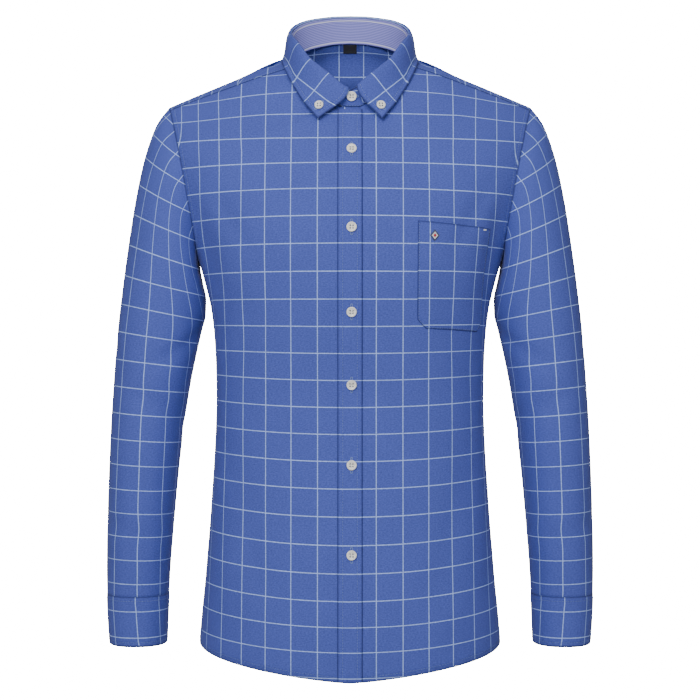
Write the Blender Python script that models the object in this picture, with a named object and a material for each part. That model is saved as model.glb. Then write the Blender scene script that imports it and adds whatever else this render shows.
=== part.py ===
"""Long-sleeved oxford shirt with a button-down collar, filled out as on a general figure.

The front looks along -Y, the wearer's left is +X and up is +Z. The origin lies between the two
neck points of the shoulders, where the shirt hangs on its wearer. Sizes are in millimetres and
become metres when a mesh is made. A wall is a sheet of points with a second layer behind it.
"""

import math

import bpy
import numpy as np
from mathutils import Vector
from mathutils.bvhtree import BVHTree

MM = 0.001

# Cloth and clearances
CLOTH = 1.2              # wall of a body or sleeve panel
BAND = 2.0               # wall of the collar stand and of a cuff, two layers and a lining
LEAF = 1.5               # wall of the collar leaf
TRIM = 1.0               # wall of the facing and of the neck label
SEAM = 0.3               # gap between two pieces where they are sewn
LAID = 0.7               # gap between a panel and what is sewn flat on it
LAID_ROUND = 1.2         # the same where the panel turns away in facets
FAR = 400.0              # a line of sight starts this far from the middle

# Shoulders and neck
RIDGE_Y = 6.0            # the shoulder ridge lies this far behind the middle
RIDGE_SLOPE = 0.4286     # fall of the shoulder per length beside the neck
SHOULDER_Z, UNDERARM_Z = -61.5, -247.0
CAP_X = (0.0, 70.0, 217.0)         # from the middle out, the height below the ridge
CAP_HEIGHT = (130.0, 115.0, 75.0)  # over which the body's section closes
NECK_HALF, NECK_Y, NECK_FRONT, NECK_BACK = 68.0, 4.0, 70.0, 54.0
SECTION = 2.3            # exponent of the body's horizontal section, 2 is an ellipse
BLEND_X = 112.0          # from the neckline to here the cloth leaves the plain section
BLEND_ABOVE = -30.0      # and so does a row whose centre lies higher than this

# Collar: angles in degrees round the neck, 0 at the front
FOLD_HALF, FOLD_FRONT, FOLD_BACK = 73.3, 74.0, 58.0
STAND_END = -12.7        # end of the upper lap, past the front centre
STAND_END_ROUND = ((4.0, 0.0, -1.5), (4.0, 0.0, 0.5))   # its top and lower corner drawn in
STAND_INSIDE_FOLD, STAND_BELOW_FOLD = 1.2, 3.8
LAP_OUT = 1.25           # each lap of the front is moved this far off the common form
LAP_FULL, LAP_NONE = 20.0, 62.0
ROLL = 2.2               # radius of the roll where the leaf turns over
ROLL_ANGLES = (178.0, 128.0, 84.0, 38.0)
ROLL_LEAVES_OUT, LEAF_ARRIVES_OUT = 0.55, 0.25
LEAF_CLEAR = 2.6         # the leaf's underside off the shoulders
LEAF_END_RIGHT, LEAF_END_LEFT = -0.8, 6.1
LEAF_FRONT = 6.0         # nearest angle whose lower edge is in the table

# Front opening, from the centre line: the under front passes it, the upper front stops short
UNDER_LAP, UPPER_LAP = -11.0, 11.6
PLACKET_COLUMNS = (-14.2, -5.0, 5.0, 10.8, 14.2)   # the fourth lies on the under front's edge
PLACKET_TOP = -73.0
PLACKET_SHORT = 2.0      # its lower end above the hem

# Chest pocket on the wearer's left front
POCKET_LEFT, POCKET_RIGHT = 78.0, 174.0     # along the cloth from the centre line
POCKET_TOP, POCKET_TOP_DROP = -205.5, 7.0
POCKET_BOTTOM, POCKET_BOTTOM_DROP = -328.0, 3.5
POCKET_CORNER = 10.0

# Cuffs, their overlap and the slit above them
CUFF_TOP, CUFF_BOTTOM = -643.7, -702.5
CUFF_PROUD = 0.6
CUFF_START, CUFF_TURN = -62.0, 388.0         # degrees round the wrist from its outer side
CUFF_EASE = 42.0                             # degrees in which the upper lap comes down
SLIT_TOP, SLIT_HALF, SLIT_POINT = -520.0, 11.0, 14.0
SLIT_OFF_CUFF, SLIT_STEP = 0.8, 0.6
SLIT_ANGLE = -84.0

# Buttons
BUTTON_SHIRT, BUTTON_COLLAR = 11.7, 10.5
BUTTON_SIDES = 16
BUTTON_X = 1.8
FRONT_BUTTONS = (-122.0, -213.0, -309.5, -393.0, -485.0, -587.5)
STAND_BUTTON = -57.5
COLLAR_BUTTON_X, COLLAR_BUTTON_Z = 35.8, -69.0
CUFF_BUTTON = -673.0
CUFF_BUTTON_IN = 11.0    # degrees from the cuff's upper end
STITCHED_OFF = 0.4       # a button stands this far off the cloth
POINT_OFF = 0.7          # and off the curved collar points
POINT_PROBE = 4.0        # half the spot whose mean direction a collar button takes
# Profile from the back over the rim into the dish: in from the edge, height above the back
BUTTON_PROFILE = ((0.7, 0.0), (0.0, 0.7), (0.1, 1.8), (0.9, 2.4), (1.9, 1.9), (2.6, 1.5))
BUTTON_DISH = 1.4

# Neck label inside the back of the neck
LABEL_HALF, LABEL_TOP, LABEL_BOTTOM = 8.0, 21.6, 13.0
LABEL_OFF = 0.9          # gap to the yoke behind it


class Table:
    """A short table with named columns, read between its rows along a smooth monotone curve."""

    def __init__(self, columns, *rows):
        self.columns = columns.split()
        self.rows = np.array(sorted(rows), dtype=float)

    def __call__(self, column, at):
        x = self.rows[:, 0]
        y = self.rows[:, self.columns.index(column)]
        gap = np.diff(x)
        rise = np.diff(y) / gap
        slope = np.empty_like(y)
        slope[0], slope[-1] = rise[0], rise[-1]
        turning = rise[1:] * rise[:-1] <= 0
        safe = np.where(turning, 1.0, rise[1:])
        safe_before = np.where(turning, 1.0, rise[:-1])
        before, after = 2 * gap[1:] + gap[:-1], gap[1:] + 2 * gap[:-1]
        mean = (before + after) / (before / safe_before + after / safe)
        slope[1:-1] = np.where(turning, 0.0, mean)
        at = np.clip(np.asarray(at, dtype=float), x[0], x[-1])
        row = np.clip(np.searchsorted(x, at, side="right") - 1, 0, len(x) - 2)
        t = (at - x[row]) / gap[row]
        start = y[row] * (1 + 2 * t) * (1 - t) ** 2 + gap[row] * slope[row] * t * (1 - t) ** 2
        end = y[row + 1] * (3 - 2 * t) * t**2 - gap[row] * slope[row + 1] * (1 - t) * t**2
        return start + end


# Half widths and depths of the body by height; above the underarm the section is only virtual
TORSO = Table(
    "z half_width front back",
    (-740, 181.5, 117, 113), (-701, 180.0, 117, 113), (-665, 177.0, 116, 113),
    (-629, 173.4, 114, 112), (-593, 170.4, 111, 110), (-557, 167.4, 108, 106),
    (-521, 165.0, 106, 101), (-485, 162.6, 104, 96), (-449, 160.8, 103, 93),
    (-413, 159.8, 103, 92), (-377, 160.3, 106, 94), (-341, 162.0, 111, 99),
    (-305, 166.0, 116, 106), (-280, 171.6, 119, 111), (-262, 176.5, 120, 113),
    (-247, 181.0, 121, 115), (-222, 190.0, 121, 117), (-182, 205.0, 117, 118),
    (-148, 215.0, 108, 115), (-113, 222.0, 93, 108), (-70, 225.0, 68, 98),
    (-20, 225.0, 60, 93), (40, 225.0, 60, 90),
)
# Height of the shoulder ridge from the middle out; it is only virtual inside the neck
RIDGE = Table("x z", (0, 26.0), (68, -3.0), (80, -4.8), (91, -7.8), (150, -32.8), (217, -61.5))
ARMHOLE = Table(
    "z x",
    (-247, 181.0), (-222, 183.0), (-187, 188.5), (-148, 195.5), (-113, 203.0), (-80, 211.5),
    (-61.5, 217.0),
)

# The collar by angle round the neck, 0 at the front: the fold's height, the stand's height
# below it, and where the leaf's lower edge lies
COLLAR = Table(
    "angle fold stand leaf_x leaf_y leaf_z",
    (0, -48.0, 21.0, 34.5, -82, -87.0), (6, -44.5, 24.5, 37.0, -82, -84.5),
    (10, -40.3, 28.7, 42.5, -79, -77.5), (17, -32.5, 31.5, 53.5, -68, -64.0),
    (30, -19.5, 32.0, 62.5, -56, -49.5), (41, -9.3, 31.7, 69.0, -45, -38.0),
    (52, 4.0, 33.0, 73.8, -33, -29.0), (62, 14.0, 34.0, 77.5, -22, -21.0),
    (75, 22.5, 33.0, 80.8, -8, -11.0), (90, 29.3, 32.3, 82.2, 8, -3.5),
    (105, 37.5, 35.0, 78.5, 22, -3.0), (120, 45.0, 37.0, 69.5, 36, -1.0),
    (135, 51.0, 37.0, 56.0, 48, 4.0), (150, 55.0, 36.5, 39.5, 58, 9.5),
    (165, 57.8, 36.0, 20.5, 64, 13.5), (180, 58.6, 35.6, 0.0, 66, 15.0),
)

# Rows of the upper body: the angle round the armhole from its top, and where the row starts,
# as a share of the neckline from the centre to the ridge or as a height on the centre line
FRONT_ROWS = (
    ("ring", "neck", "centre"),
    (180, None, -247), (165, None, -218), (150, None, -188), (135, None, -158),
    (120, None, -128), (105, None, -99), (90, 0, None), (75, 0.165, None), (60, 0.33, None),
    (46, 0.49, None), (32, 0.645, None), (17.5, 0.8, None), (8.75, 0.9, None), (0, 1, None),
)
BACK_ROWS = (
    ("ring", "neck", "centre"),
    (180, None, -247), (157, None, -220), (133, None, -192), (109, None, -165),
    (85, None, -137), (61, None, -110), (53, None, -65), (45, None, -20), (36, 0, None),
    (30, 0.167, None), (24, 0.333, None), (18, 0.5, None), (12, 0.667, None), (6, 0.833, None),
    (0, 1, None),
)
FRONT_YOKE_ROW = 11      # the forward yoke seam, counted from the underarm's row
BACK_YOKE_ROW = 5        # the yoke seam on the back, counted in the same way

# Rows below the underarm: height at the side seam, and at the centre of the front and back
LOWER_ROWS = (
    ("side", "front", "back"),
    (-700.0, -733.0, -738.0), (-655.0, -681.0, -685.0), (-605.0, -621.0, -624.0),
    (-555.0, -562.0, -564.0), (-506.0, -508.0, -509.0), (-460.0, -460.0, -460.0),
    (-415.0, -415.0, -415.0), (-372.0, -372.0, -372.0), (-335.0, -335.0, -335.0),
    (-305.0, -305.0, -305.0), (-276.0, -276.0, -276.0),
)
HEM_CURVE = 1.3          # exponent of the shirt tail along the hem
COLUMNS = (0.0, 0.14, 0.28, 0.41, 0.53, 0.64, 0.74, 0.82, 0.89, 0.95, 1.0)

# Sleeve sections from the armhole to the cuff: outer and inner edge, depth before and behind
SLEEVE = (
    ("outer_x", "outer_z", "inner_x", "inner_z", "front", "back"),
    (217.0, -61.5, 181.0, -247.0, 54, 57), (231.0, -81.0, 179.2, -262.0, 58, 60),
    (245.5, -121.0, 175.6, -277.0, 61, 61), (256.5, -172.0, 172.4, -293.0, 62, 60),
    (265.3, -228.0, 173.0, -311.0, 62, 57), (272.8, -284.0, 177.2, -329.0, 62, 54),
    (278.8, -338.0, 183.6, -356.0, 62, 50), (283.2, -398.0, 191.6, -396.0, 61, 44),
    (286.2, -446.0, 199.2, -446.0, 60, 38), (288.2, -492.0, 204.6, -492.0, 59, 34),
    (289.8, -536.0, 208.8, -536.0, 57, 32), (290.9, -578.0, 212.4, -578.0, 54, 31),
    (291.3, -614.0, 215.2, -614.0, 50, 31), (290.9, -643.4, 216.8, -643.4, 47, 32),
)
LEVEL_SECTIONS = SLEEVE[-6:]       # those whose two edges are at one height
WRIST = Table(
    "z outer_x inner_x front back",
    (-703, 287.8, 219.2, 44.5, 32.5), (-665, 290.2, 217.8, 45.5, 32.5),
    *((z, outer, inner, front, back) for outer, z, inner, _, front, back in LEVEL_SECTIONS),
)
SLEEVE_SECTION = 2.15              # exponent of a sleeve's section
ARMHOLE_SHARE = (1.0, 0.62, 0.34, 0.15, 0.05)   # how much of the armhole's own shape is left
ARMHOLE_PROUD = 0.8                # the sleeve head off the body, beyond the seam

# Soft troughs of the body cloth: where they lie, how they lean, and their size
TROUGHS = (
    ("face", "x", "z", "lean", "length", "width", "depth"),
    ("front", 166.0, -236.0, 14.0, 58.0, 11.0, 4.0),
    ("front", 141.0, -198.0, 30.0, 44.0, 10.0, 2.2),
    ("front", 128.0, -352.0, -24.0, 62.0, 15.0, 2.0),
    ("front", 118.0, -560.0, 12.0, 88.0, 19.0, 2.6),
    ("back", 158.0, -226.0, 20.0, 62.0, 12.0, 3.6),
    ("back", 96.0, -420.0, -30.0, 74.0, 18.0, 3.0),
    ("back", 120.0, -560.0, 8.0, 92.0, 20.0, 3.2),
)
TROUGH_EDGE = 0.06       # they fade over this share of the half width beside the side seam
# Soft troughs of a sleeve: angle round it and height, the rest as above
SLEEVE_TROUGHS = (
    ("angle", "z", "lean", "length", "width", "depth"),
    (128.0, -352.0, 34.0, 40.0, 10.0, 2.6),
    (112.0, -420.0, -26.0, 44.0, 12.0, 2.4),
    (-120.0, -430.0, 24.0, 46.0, 12.0, 2.6),
    (72.0, -566.0, -20.0, 40.0, 12.0, 1.8),
    (-60.0, -330.0, -22.0, 52.0, 13.0, 2.2),
)
ROUND_SLEEVE = 0.75      # length round a sleeve per degree
SLEEVE_FADE = 3.0        # and over this count of sections below the armhole

MATERIALS = {
    "shirting": ((0.092, 0.150, 0.430, 1.0), 0.86),
    "striped": ((0.360, 0.390, 0.680, 1.0), 0.80),
    "label": ((0.012, 0.013, 0.018, 1.0), 0.70),
    "button": ((0.800, 0.780, 0.720, 1.0), 0.28),
}


def records(table):
    """Rows of a table as dictionaries named by its first row."""
    return [dict(zip(table[0], row)) for row in table[1:]]


def unit(vectors):
    """Vectors of length one."""
    return vectors / np.maximum(np.linalg.norm(vectors, axis=-1, keepdims=True), 1e-9)


def mirrored(points):
    """Points or normals on the other side of the centre plane."""
    return points * np.array((-1.0, 1.0, 1.0))


def spread(curve, shares):
    """Points at the given shares of a curve's length."""
    run = np.concatenate(([0.0], np.cumsum(np.linalg.norm(np.diff(curve, axis=0), axis=1))))
    at = np.asarray(shares) * run[-1]
    return np.stack([np.interp(at, run, curve[:, axis]) for axis in range(3)], axis=1)


def eased(count=181):
    """Shares from none to one that lie closer and closer together."""
    return 1 - (1 - np.linspace(0.0, 1.0, count)) ** 3


def hermite(start, end, leaving, arriving, t):
    """A cubic from start to end with the given tangents, at shares t of its run."""
    return (
        start * (1 + 2 * t) * (1 - t) ** 2 + leaving * t * (1 - t) ** 2
        + end * (3 - 2 * t) * t**2 - arriving * (1 - t) * t**2
    )


def hollow(across, along, width, length):
    """A trough's share of its depth: a bell across it that fades at both ends."""
    return np.exp(-((across / width) ** 2) - (along / length) ** 4)


# ------------------------------------------------------------------------- the body's form


def ridge(x):
    """Height of the shoulder ridge."""
    return RIDGE("z", np.abs(x))


def body_y(x, z, face):
    """Depth of the body cloth: a rounded section that closes in a quarter arc to the ridge."""
    x = np.abs(x)
    inside = np.minimum(x / TORSO("half_width", z), 1.0)
    section = TORSO(face, z) * (1 - inside**SECTION) ** (1 / SECTION)
    rise = np.clip((ridge(x) - z) / np.interp(x, CAP_X, CAP_HEIGHT), 0.0, 1.0)
    cap = np.sqrt(1 - (1 - rise) ** 2)
    side = -1.0 if face == "front" else 1.0
    dent = np.zeros_like(section)
    for trough in records(TROUGHS):
        if trough["face"] != face:
            continue
        lean = math.radians(trough["lean"])
        right, up = x - trough["x"], z - trough["z"]
        across = right * math.cos(lean) - up * math.sin(lean)
        along = right * math.sin(lean) + up * math.cos(lean)
        dent += trough["depth"] * hollow(across, along, trough["width"], trough["length"])
    dent *= np.clip((1 - inside) / TROUGH_EDGE, 0.0, 1.0)
    return RIDGE_Y + (side * (section - dent) - RIDGE_Y) * cap


def round_neck(angle, half, front, back):
    """Plan of the neck oval at an angle from its front centre."""
    turn = np.radians(angle)
    depth = np.where(np.cos(turn) > 0, front, back)
    return half * np.sin(turn), NECK_Y - depth * np.cos(turn)


def centre_angle(lap):
    """Angle on the neckline of a front edge that lies this far from the centre line."""
    return math.degrees(math.asin(lap / NECK_HALF))


def neck(angle):
    """The neckline seam."""
    x, y = round_neck(angle, NECK_HALF, NECK_FRONT, NECK_BACK)
    reach = np.abs(angle)
    return np.stack((x, y, COLLAR("fold", reach) - COLLAR("stand", reach)), axis=-1)


def upper_row(face, lap, ring, neck_share, centre):
    """One row of the upper body, from the neckline or centre line out to the armhole."""
    span = SHOULDER_Z - UNDERARM_Z
    outer_z = SHOULDER_Z - span * (1 - math.cos(math.radians(ring))) / 2
    outer_x = float(ARMHOLE("x", outer_z))
    on_neck = neck_share is not None
    if on_neck:
        at_centre = centre_angle(lap) if face == "front" else 180.0
        start = neck(np.array(at_centre + (90.0 - at_centre) * neck_share))
    else:
        start = np.array((lap, body_y(np.array(lap), centre, face), centre))
    x = start[0] + (outer_x - start[0]) * eased()
    z = start[2] + (outer_z - start[2]) * eased()
    curve = np.stack((x, body_y(x, z, face), z), axis=1)
    if on_neck or centre > BLEND_ABOVE:
        meet = int(np.searchsorted(x, BLEND_X))
        chord = np.linalg.norm(curve[meet] - start)
        fall = -RIDGE_SLOPE * math.sin(math.pi / 2 * (neck_share or 0.0))
        leaving = chord * unit(np.array((1.0, 0.0, fall)))
        arriving = chord * unit(curve[meet + 1] - curve[meet])
        shares = np.linspace(0.0, 1.0, 60)[:, None]
        near = hermite(start, curve[meet], leaving, arriving, shares)
        curve = np.concatenate((near[:-1], curve[meet:]))
    return spread(curve, COLUMNS)


def lower_row(face, lap, centre, side):
    """One row below the underarm, from the centre line to the side seam."""
    ease = eased()
    flat_x = TORSO("half_width", side) * ease
    flat = np.stack((flat_x, body_y(flat_x, centre, face), np.full_like(flat_x, centre)), axis=1)
    run = np.concatenate(([0.0], np.cumsum(np.linalg.norm(np.diff(flat, axis=0), axis=1))))
    run /= run[-1]
    start = lap / TORSO("half_width", centre)
    reach = start + (1 - start) * ease
    z = centre + (side - centre) * np.interp(np.abs(reach), ease, run) ** HEM_CURVE
    x = TORSO("half_width", z) * reach
    return spread(np.stack((x, body_y(x, z, face), z), axis=1), COLUMNS)


def half_body(face, lap):
    """Points of half a front or back, rows from the hem up to the shoulder ridge."""
    low = [lower_row(face, lap, row[face], row["side"]) for row in records(LOWER_ROWS)]
    rows = FRONT_ROWS if face == "front" else BACK_ROWS
    return np.array(low + [upper_row(face, lap, *row) for row in rows[1:]])


def half_shell(lap):
    """Front and back half together with their normals, over the ridge and round the side."""
    front, back = half_body("front", lap), half_body("back", 0.0)
    whole = np.concatenate((front, back[-2::-1]))
    up = np.gradient(whole, axis=0)
    out = np.gradient(whole, axis=1)
    normals = unit(np.cross(out, up))
    low = len(LOWER_ROWS)
    for row in list(range(low)) + list(range(len(whole) - low, len(whole))):
        z = whole[row, -1, 2]
        slope = (TORSO("half_width", z + 1.0) - TORSO("half_width", z - 1.0)) / 2
        normals[row, -1] = unit(np.array((1.0, 0.0, -slope)))
    count = len(front)
    return {
        "front": (front, normals[:count]),
        "back": (back, normals[count - 1:][::-1]),
    }


# ------------------------------------------------------------------------------ making walls


def grid_faces(rows, columns, closed=False):
    """Triangle pairs over a grid of points, closed round its columns or not."""
    faces = []
    for row in range(rows - 1):
        for column in range(columns if closed else columns - 1):
            after = (column + 1) % columns
            a, b = row * columns + column, row * columns + after
            faces += [(a, b, b + columns), (a, b + columns, a + columns)]
    return faces


def join(*sheets):
    """Sheets of points, normals and faces as one, their common points welded."""
    points = np.concatenate([sheet[0] for sheet in sheets])
    normals = np.concatenate([sheet[1] for sheet in sheets])
    faces, start = [], 0
    for sheet in sheets:
        faces += [tuple(start + i for i in face) for face in sheet[2]]
        start += len(sheet[0])
    keys, first, back = np.unique(
        np.round(points * 1000).astype(np.int64), axis=0, return_index=True, return_inverse=True
    )
    back = back.reshape(-1)
    summed = np.zeros((len(keys), 3))
    np.add.at(summed, back, normals)
    return points[first], unit(summed), [tuple(int(back[i]) for i in face) for face in faces]


def sheet(points, normals, closed=False):
    """A sheet from a grid of points whose faces look the way of the normals."""
    rows, columns = points.shape[:2]
    faces = grid_faces(rows, columns, closed)
    flat, facing = points.reshape(-1, 3), normals.reshape(-1, 3)
    corners = flat[np.array(faces)]
    looks = np.cross(corners[:, 1] - corners[:, 0], corners[:, 2] - corners[:, 0])
    if np.sum(looks * facing[np.array(faces)[:, 0]]) < 0:
        faces = [face[::-1] for face in faces]
    return flat, facing, faces


def solid(name, points, faces, material):
    """A named object with its own mesh and material."""
    mesh = bpy.data.meshes.new(name)
    mesh.from_pydata([tuple(point) for point in np.asarray(points) * MM], [], faces)
    mesh.validate()
    mesh.shade_smooth()
    mesh.set_sharp_from_angle(angle=math.radians(40.0))
    mesh.materials.append(finish(name, material))
    body = bpy.data.objects.new(name, mesh)
    bpy.context.scene.collection.objects.link(body)
    return body


def wall(name, cloth, thickness, material, inner=None):
    """A sheet closed into a wall by a second layer behind it, or by the given inner points."""
    points, normals, faces = cloth
    count = len(points)
    if inner is None:
        inner = points - thickness * normals
    edges = {(a, b) for face in faces for a, b in zip(face, face[1:] + face[:1])}
    rim = [(a, b) for a, b in edges if (b, a) not in edges]
    sides = [(b, a, a + count, b + count) for a, b in sorted(rim)]
    behind = [tuple(count + i for i in reversed(face)) for face in faces]
    return solid(name, np.concatenate((points, inner)), list(faces) + behind + sides, material)


def finish(name, kind):
    """A Principled material of one kind for one piece."""
    colour, roughness = MATERIALS[kind]
    material = bpy.data.materials.new(name)
    material.use_nodes = True
    shader = material.node_tree.nodes["Principled BSDF"]
    shader.inputs["Base Color"].default_value = colour
    shader.inputs["Roughness"].default_value = roughness
    shader.inputs["Metallic"].default_value = 0.0
    return material


def tree(*sheets):
    """A searchable surface made of sheets."""
    points, _, faces = join(*sheets)
    return BVHTree.FromPolygons([Vector(point) for point in points], faces)


def seen_from_front(surface, x, z):
    """Where a line along +Y first meets a surface."""
    hit, normal, _, _ = surface.ray_cast(Vector((x, -FAR, z)), Vector((0.0, 1.0, 0.0)))
    if normal.y > 0:
        normal = -normal
    return np.array(hit), np.array(normal)


# ------------------------------------------------------------------------------------ panels


def trimmed(points, rows=(), side=None):
    """Edges of a panel drawn back half a seam: whole rows, and the side seam's lowest rows."""
    moved = points.copy()
    for row in rows:
        inward = points[row + 1 if row == 0 else row - 1] - points[row]
        moved[row] += unit(inward) * SEAM / 2
    if side is not None:
        inward = points[side, -2] - points[side, -1]
        moved[side, -1] += unit(inward) * SEAM / 2
    return moved


def make_body(shells):
    """Fronts, back and yoke from the half shells of the under and the upper front."""
    low = len(LOWER_ROWS) - 1
    sheets = {}
    for name, shell, flip in (("front_right", shells["under"], True),
                              ("front_left", shells["upper"], False)):
        points, normals = shell["front"]
        top = low + FRONT_YOKE_ROW
        points = trimmed(points[:top + 1], rows=(top,), side=slice(0, low + 1))
        normals = normals[:top + 1]
        if flip:
            points, normals = mirrored(points), mirrored(normals)
        sheets[name] = sheet(points, normals)
        wall(name, sheets[name], CLOTH, "shirting")

    back, back_normals = shells["upper"]["back"]
    top = low + BACK_YOKE_ROW
    panel = trimmed(back[:top + 1], rows=(top,), side=slice(0, low + 1))
    sheets["back"] = join(
        sheet(panel, back_normals[:top + 1]),
        sheet(mirrored(panel), mirrored(back_normals[:top + 1])),
    )
    wall("back", sheets["back"], CLOTH, "shirting")

    arms = []
    for side, flip in (("under", True), ("upper", False)):
        front, front_normals = shells[side]["front"]
        start = low + FRONT_YOKE_ROW
        points = np.concatenate((front[start:], back[top:-1][::-1]))
        normals = np.concatenate((front_normals[start:], back_normals[top:-1][::-1]))
        points = trimmed(points, rows=(0, len(points) - 1))
        if flip:
            points, normals = mirrored(points), mirrored(normals)
        arms.append(sheet(points, normals))
    sheets["yoke"] = join(*arms)
    wall("yoke", sheets["yoke"], CLOTH, "shirting")
    return sheets


def make_placket(fronts):
    """The strip that carries the buttonholes, moved out from the two fronts under it."""
    surface = tree(*fronts)
    heights = [row["front"] for row in records(LOWER_ROWS)]
    levels = [row["centre"] for row in records(FRONT_ROWS) if row["neck"] is None]
    levels.append(PLACKET_TOP)
    heights += [levels[0]] + [z for low, high in zip(levels, levels[1:])
                              for z in ((low + high) / 2, high)]
    heights[0] += PLACKET_SHORT
    z, x = np.meshgrid(heights, PLACKET_COLUMNS, indexing="ij")
    points = np.array([[seen_from_front(surface, *place)[0] for place in zip(row_x, row_z)]
                       for row_x, row_z in zip(x, z)])
    normals = unit(np.cross(np.gradient(points, axis=1), np.gradient(points, axis=0)))
    placket = sheet(points + normals * (LAID + CLOTH), normals)
    wall("placket", placket, CLOTH, "shirting")
    return placket


def make_pocket(front):
    """The chest pocket, moved out from the left front, with cut lower corners."""
    surface = tree(front)
    across = np.linspace(0.0, 1.0, 9)
    cut = POCKET_CORNER / (POCKET_TOP - POCKET_BOTTOM)
    up = np.array((0.0, cut, 0.3, 0.5, 0.7, 0.87, 1.0))
    points, normals = np.empty((len(up), len(across), 3)), np.empty((len(up), len(across), 3))
    for row, height in enumerate(up):
        corner = POCKET_CORNER if row == 0 else 0.0
        for column, share in enumerate(across):
            low = POCKET_BOTTOM - POCKET_BOTTOM_DROP * share
            high = POCKET_TOP - POCKET_TOP_DROP * share
            z = low + (high - low) * height
            x = np.linspace(0.0, TORSO("half_width", z), 400)
            y = body_y(x, np.full_like(x, z), "front")
            run = np.concatenate(([0.0], np.cumsum(np.hypot(np.diff(x), np.diff(y)))))
            along = POCKET_LEFT + corner + (POCKET_RIGHT - POCKET_LEFT - 2 * corner) * share
            points[row, column], _ = seen_from_front(surface, np.interp(along, run, x), z)
    normals = unit(np.cross(np.gradient(points, axis=1), np.gradient(points, axis=0)))
    wall("pocket", sheet(points + normals * (LAID_ROUND + CLOTH), normals), CLOTH, "shirting")


# ----------------------------------------------------------------------------- sleeves, cuffs


def superellipse(angle):
    """Signed shares of the half width and depth at an angle round a rounded section."""
    c, s = np.cos(np.radians(angle)), np.sin(np.radians(angle))
    power = 2 / SLEEVE_SECTION
    return np.sign(c) * np.abs(c) ** power, np.sign(s) * np.abs(s) ** power


def section_ring(section, angles):
    """Points round one sleeve section; 0 is its outer edge and 90 its front."""
    outer = np.array((section["outer_x"], 0.0, section["outer_z"]))
    inner = np.array((section["inner_x"], 0.0, section["inner_z"]))
    width, depth = superellipse(angles)
    deep = np.where(depth > 0, -section["front"], -section["back"])
    middle, half = (outer + inner) / 2, (outer - inner) / 2
    return middle + width[:, None] * half + (deep * depth)[:, None] * np.array((0, 1.0, 0))


def armhole_ring(shells):
    """The armhole from the underarm up the front, over the ridge and down the back."""
    low = len(LOWER_ROWS) - 1
    front, front_normals = shells["upper"]["front"]
    back, back_normals = shells["upper"]["back"]
    ring = np.concatenate((front[low:, -1], back[low + 1:-1, -1][::-1]))
    normals = np.concatenate((front_normals[low:, -1], back_normals[low + 1:-1, -1][::-1]))
    along = unit(np.roll(ring, -1, axis=0) - np.roll(ring, 1, axis=0))
    return ring, normals, unit(np.cross(along, normals))


def sleeve_rings(shells):
    """Rings of a sleeve's outer face and the inner ring at the armhole."""
    ring, normals, outward = armhole_ring(shells)
    sections = records(SLEEVE)
    first = sections[0]
    outer = np.array((first["outer_x"], 0.0, first["outer_z"]))
    inner = np.array((first["inner_x"], 0.0, first["inner_z"]))
    middle, half = (outer + inner) / 2, (outer - inner) / 2
    share = np.clip((ring - middle) @ half / (half @ half), -1.0, 1.0)
    angles = np.degrees(np.arccos(np.sign(share) * np.abs(share) ** (SLEEVE_SECTION / 2)))
    behind = len(FRONT_ROWS) - 1
    angles[behind:] *= -1
    leaving = unit(section_ring(sections[1], angles) - section_ring(first, angles))
    turn = np.arctan2(np.sum(leaving * normals, axis=1), np.sum(leaving * outward, axis=1))
    turn = np.where(turn < -math.pi / 2, turn + 2 * math.pi, turn)
    folded = np.clip(turn, 0.0, math.pi)[:, None]
    lift = np.clip(folded / (math.pi / 2), 0.0, 1.0)
    edge = ring + outward * SEAM + normals * ARMHOLE_PROUD * lift
    facing = normals * np.cos(folded) - outward * np.sin(folded)
    rings = []
    for number, section in enumerate(sections):
        points = section_ring(section, angles)
        if number < len(ARMHOLE_SHARE):
            points = points + ARMHOLE_SHARE[number] * (edge - section_ring(first, angles))
        rings.append(points)
    rings = np.array(rings)
    centres = rings.mean(axis=1, keepdims=True)
    fade = np.clip(np.arange(len(sections)) / SLEEVE_FADE, 0.0, 1.0)[:, None]
    fade[-1] = 0.0
    dent = np.zeros(rings.shape[:2])
    for trough in records(SLEEVE_TROUGHS):
        lean = math.radians(trough["lean"])
        away = (angles - trough["angle"] + 180.0) % 360.0 - 180.0
        round_way = away[None, :] * ROUND_SLEEVE
        up = rings[:, :, 2] - trough["z"]
        across = round_way * math.sin(lean) + up * math.cos(lean)
        along = round_way * math.cos(lean) - up * math.sin(lean)
        dent += trough["depth"] * hollow(across, along, trough["width"], trough["length"])
    rings -= unit(rings - centres) * (dent * fade)[:, :, None]
    return rings, edge - facing * CLOTH


def make_sleeve(name, shells, flip):
    """One sleeve, sewn to the armhole and open at the cuff."""
    rings, inner_edge = sleeve_rings(shells)
    down = np.gradient(rings, axis=0)
    around = np.roll(rings, -1, axis=1) - np.roll(rings, 1, axis=1)
    normals = unit(np.cross(around, down))
    middle = rings[-1].mean(axis=0)
    if np.sum(normals[-1] * (rings[-1] - middle)) < 0:
        normals = -normals
    inner = rings - normals * CLOTH
    inner[0] = inner_edge
    if flip:
        rings, normals, inner = mirrored(rings), mirrored(normals), mirrored(inner)
    cloth = sheet(rings, normals, closed=True)
    wall(name, cloth, CLOTH, "shirting", inner=inner.reshape(-1, 3))
    return cloth


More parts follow.
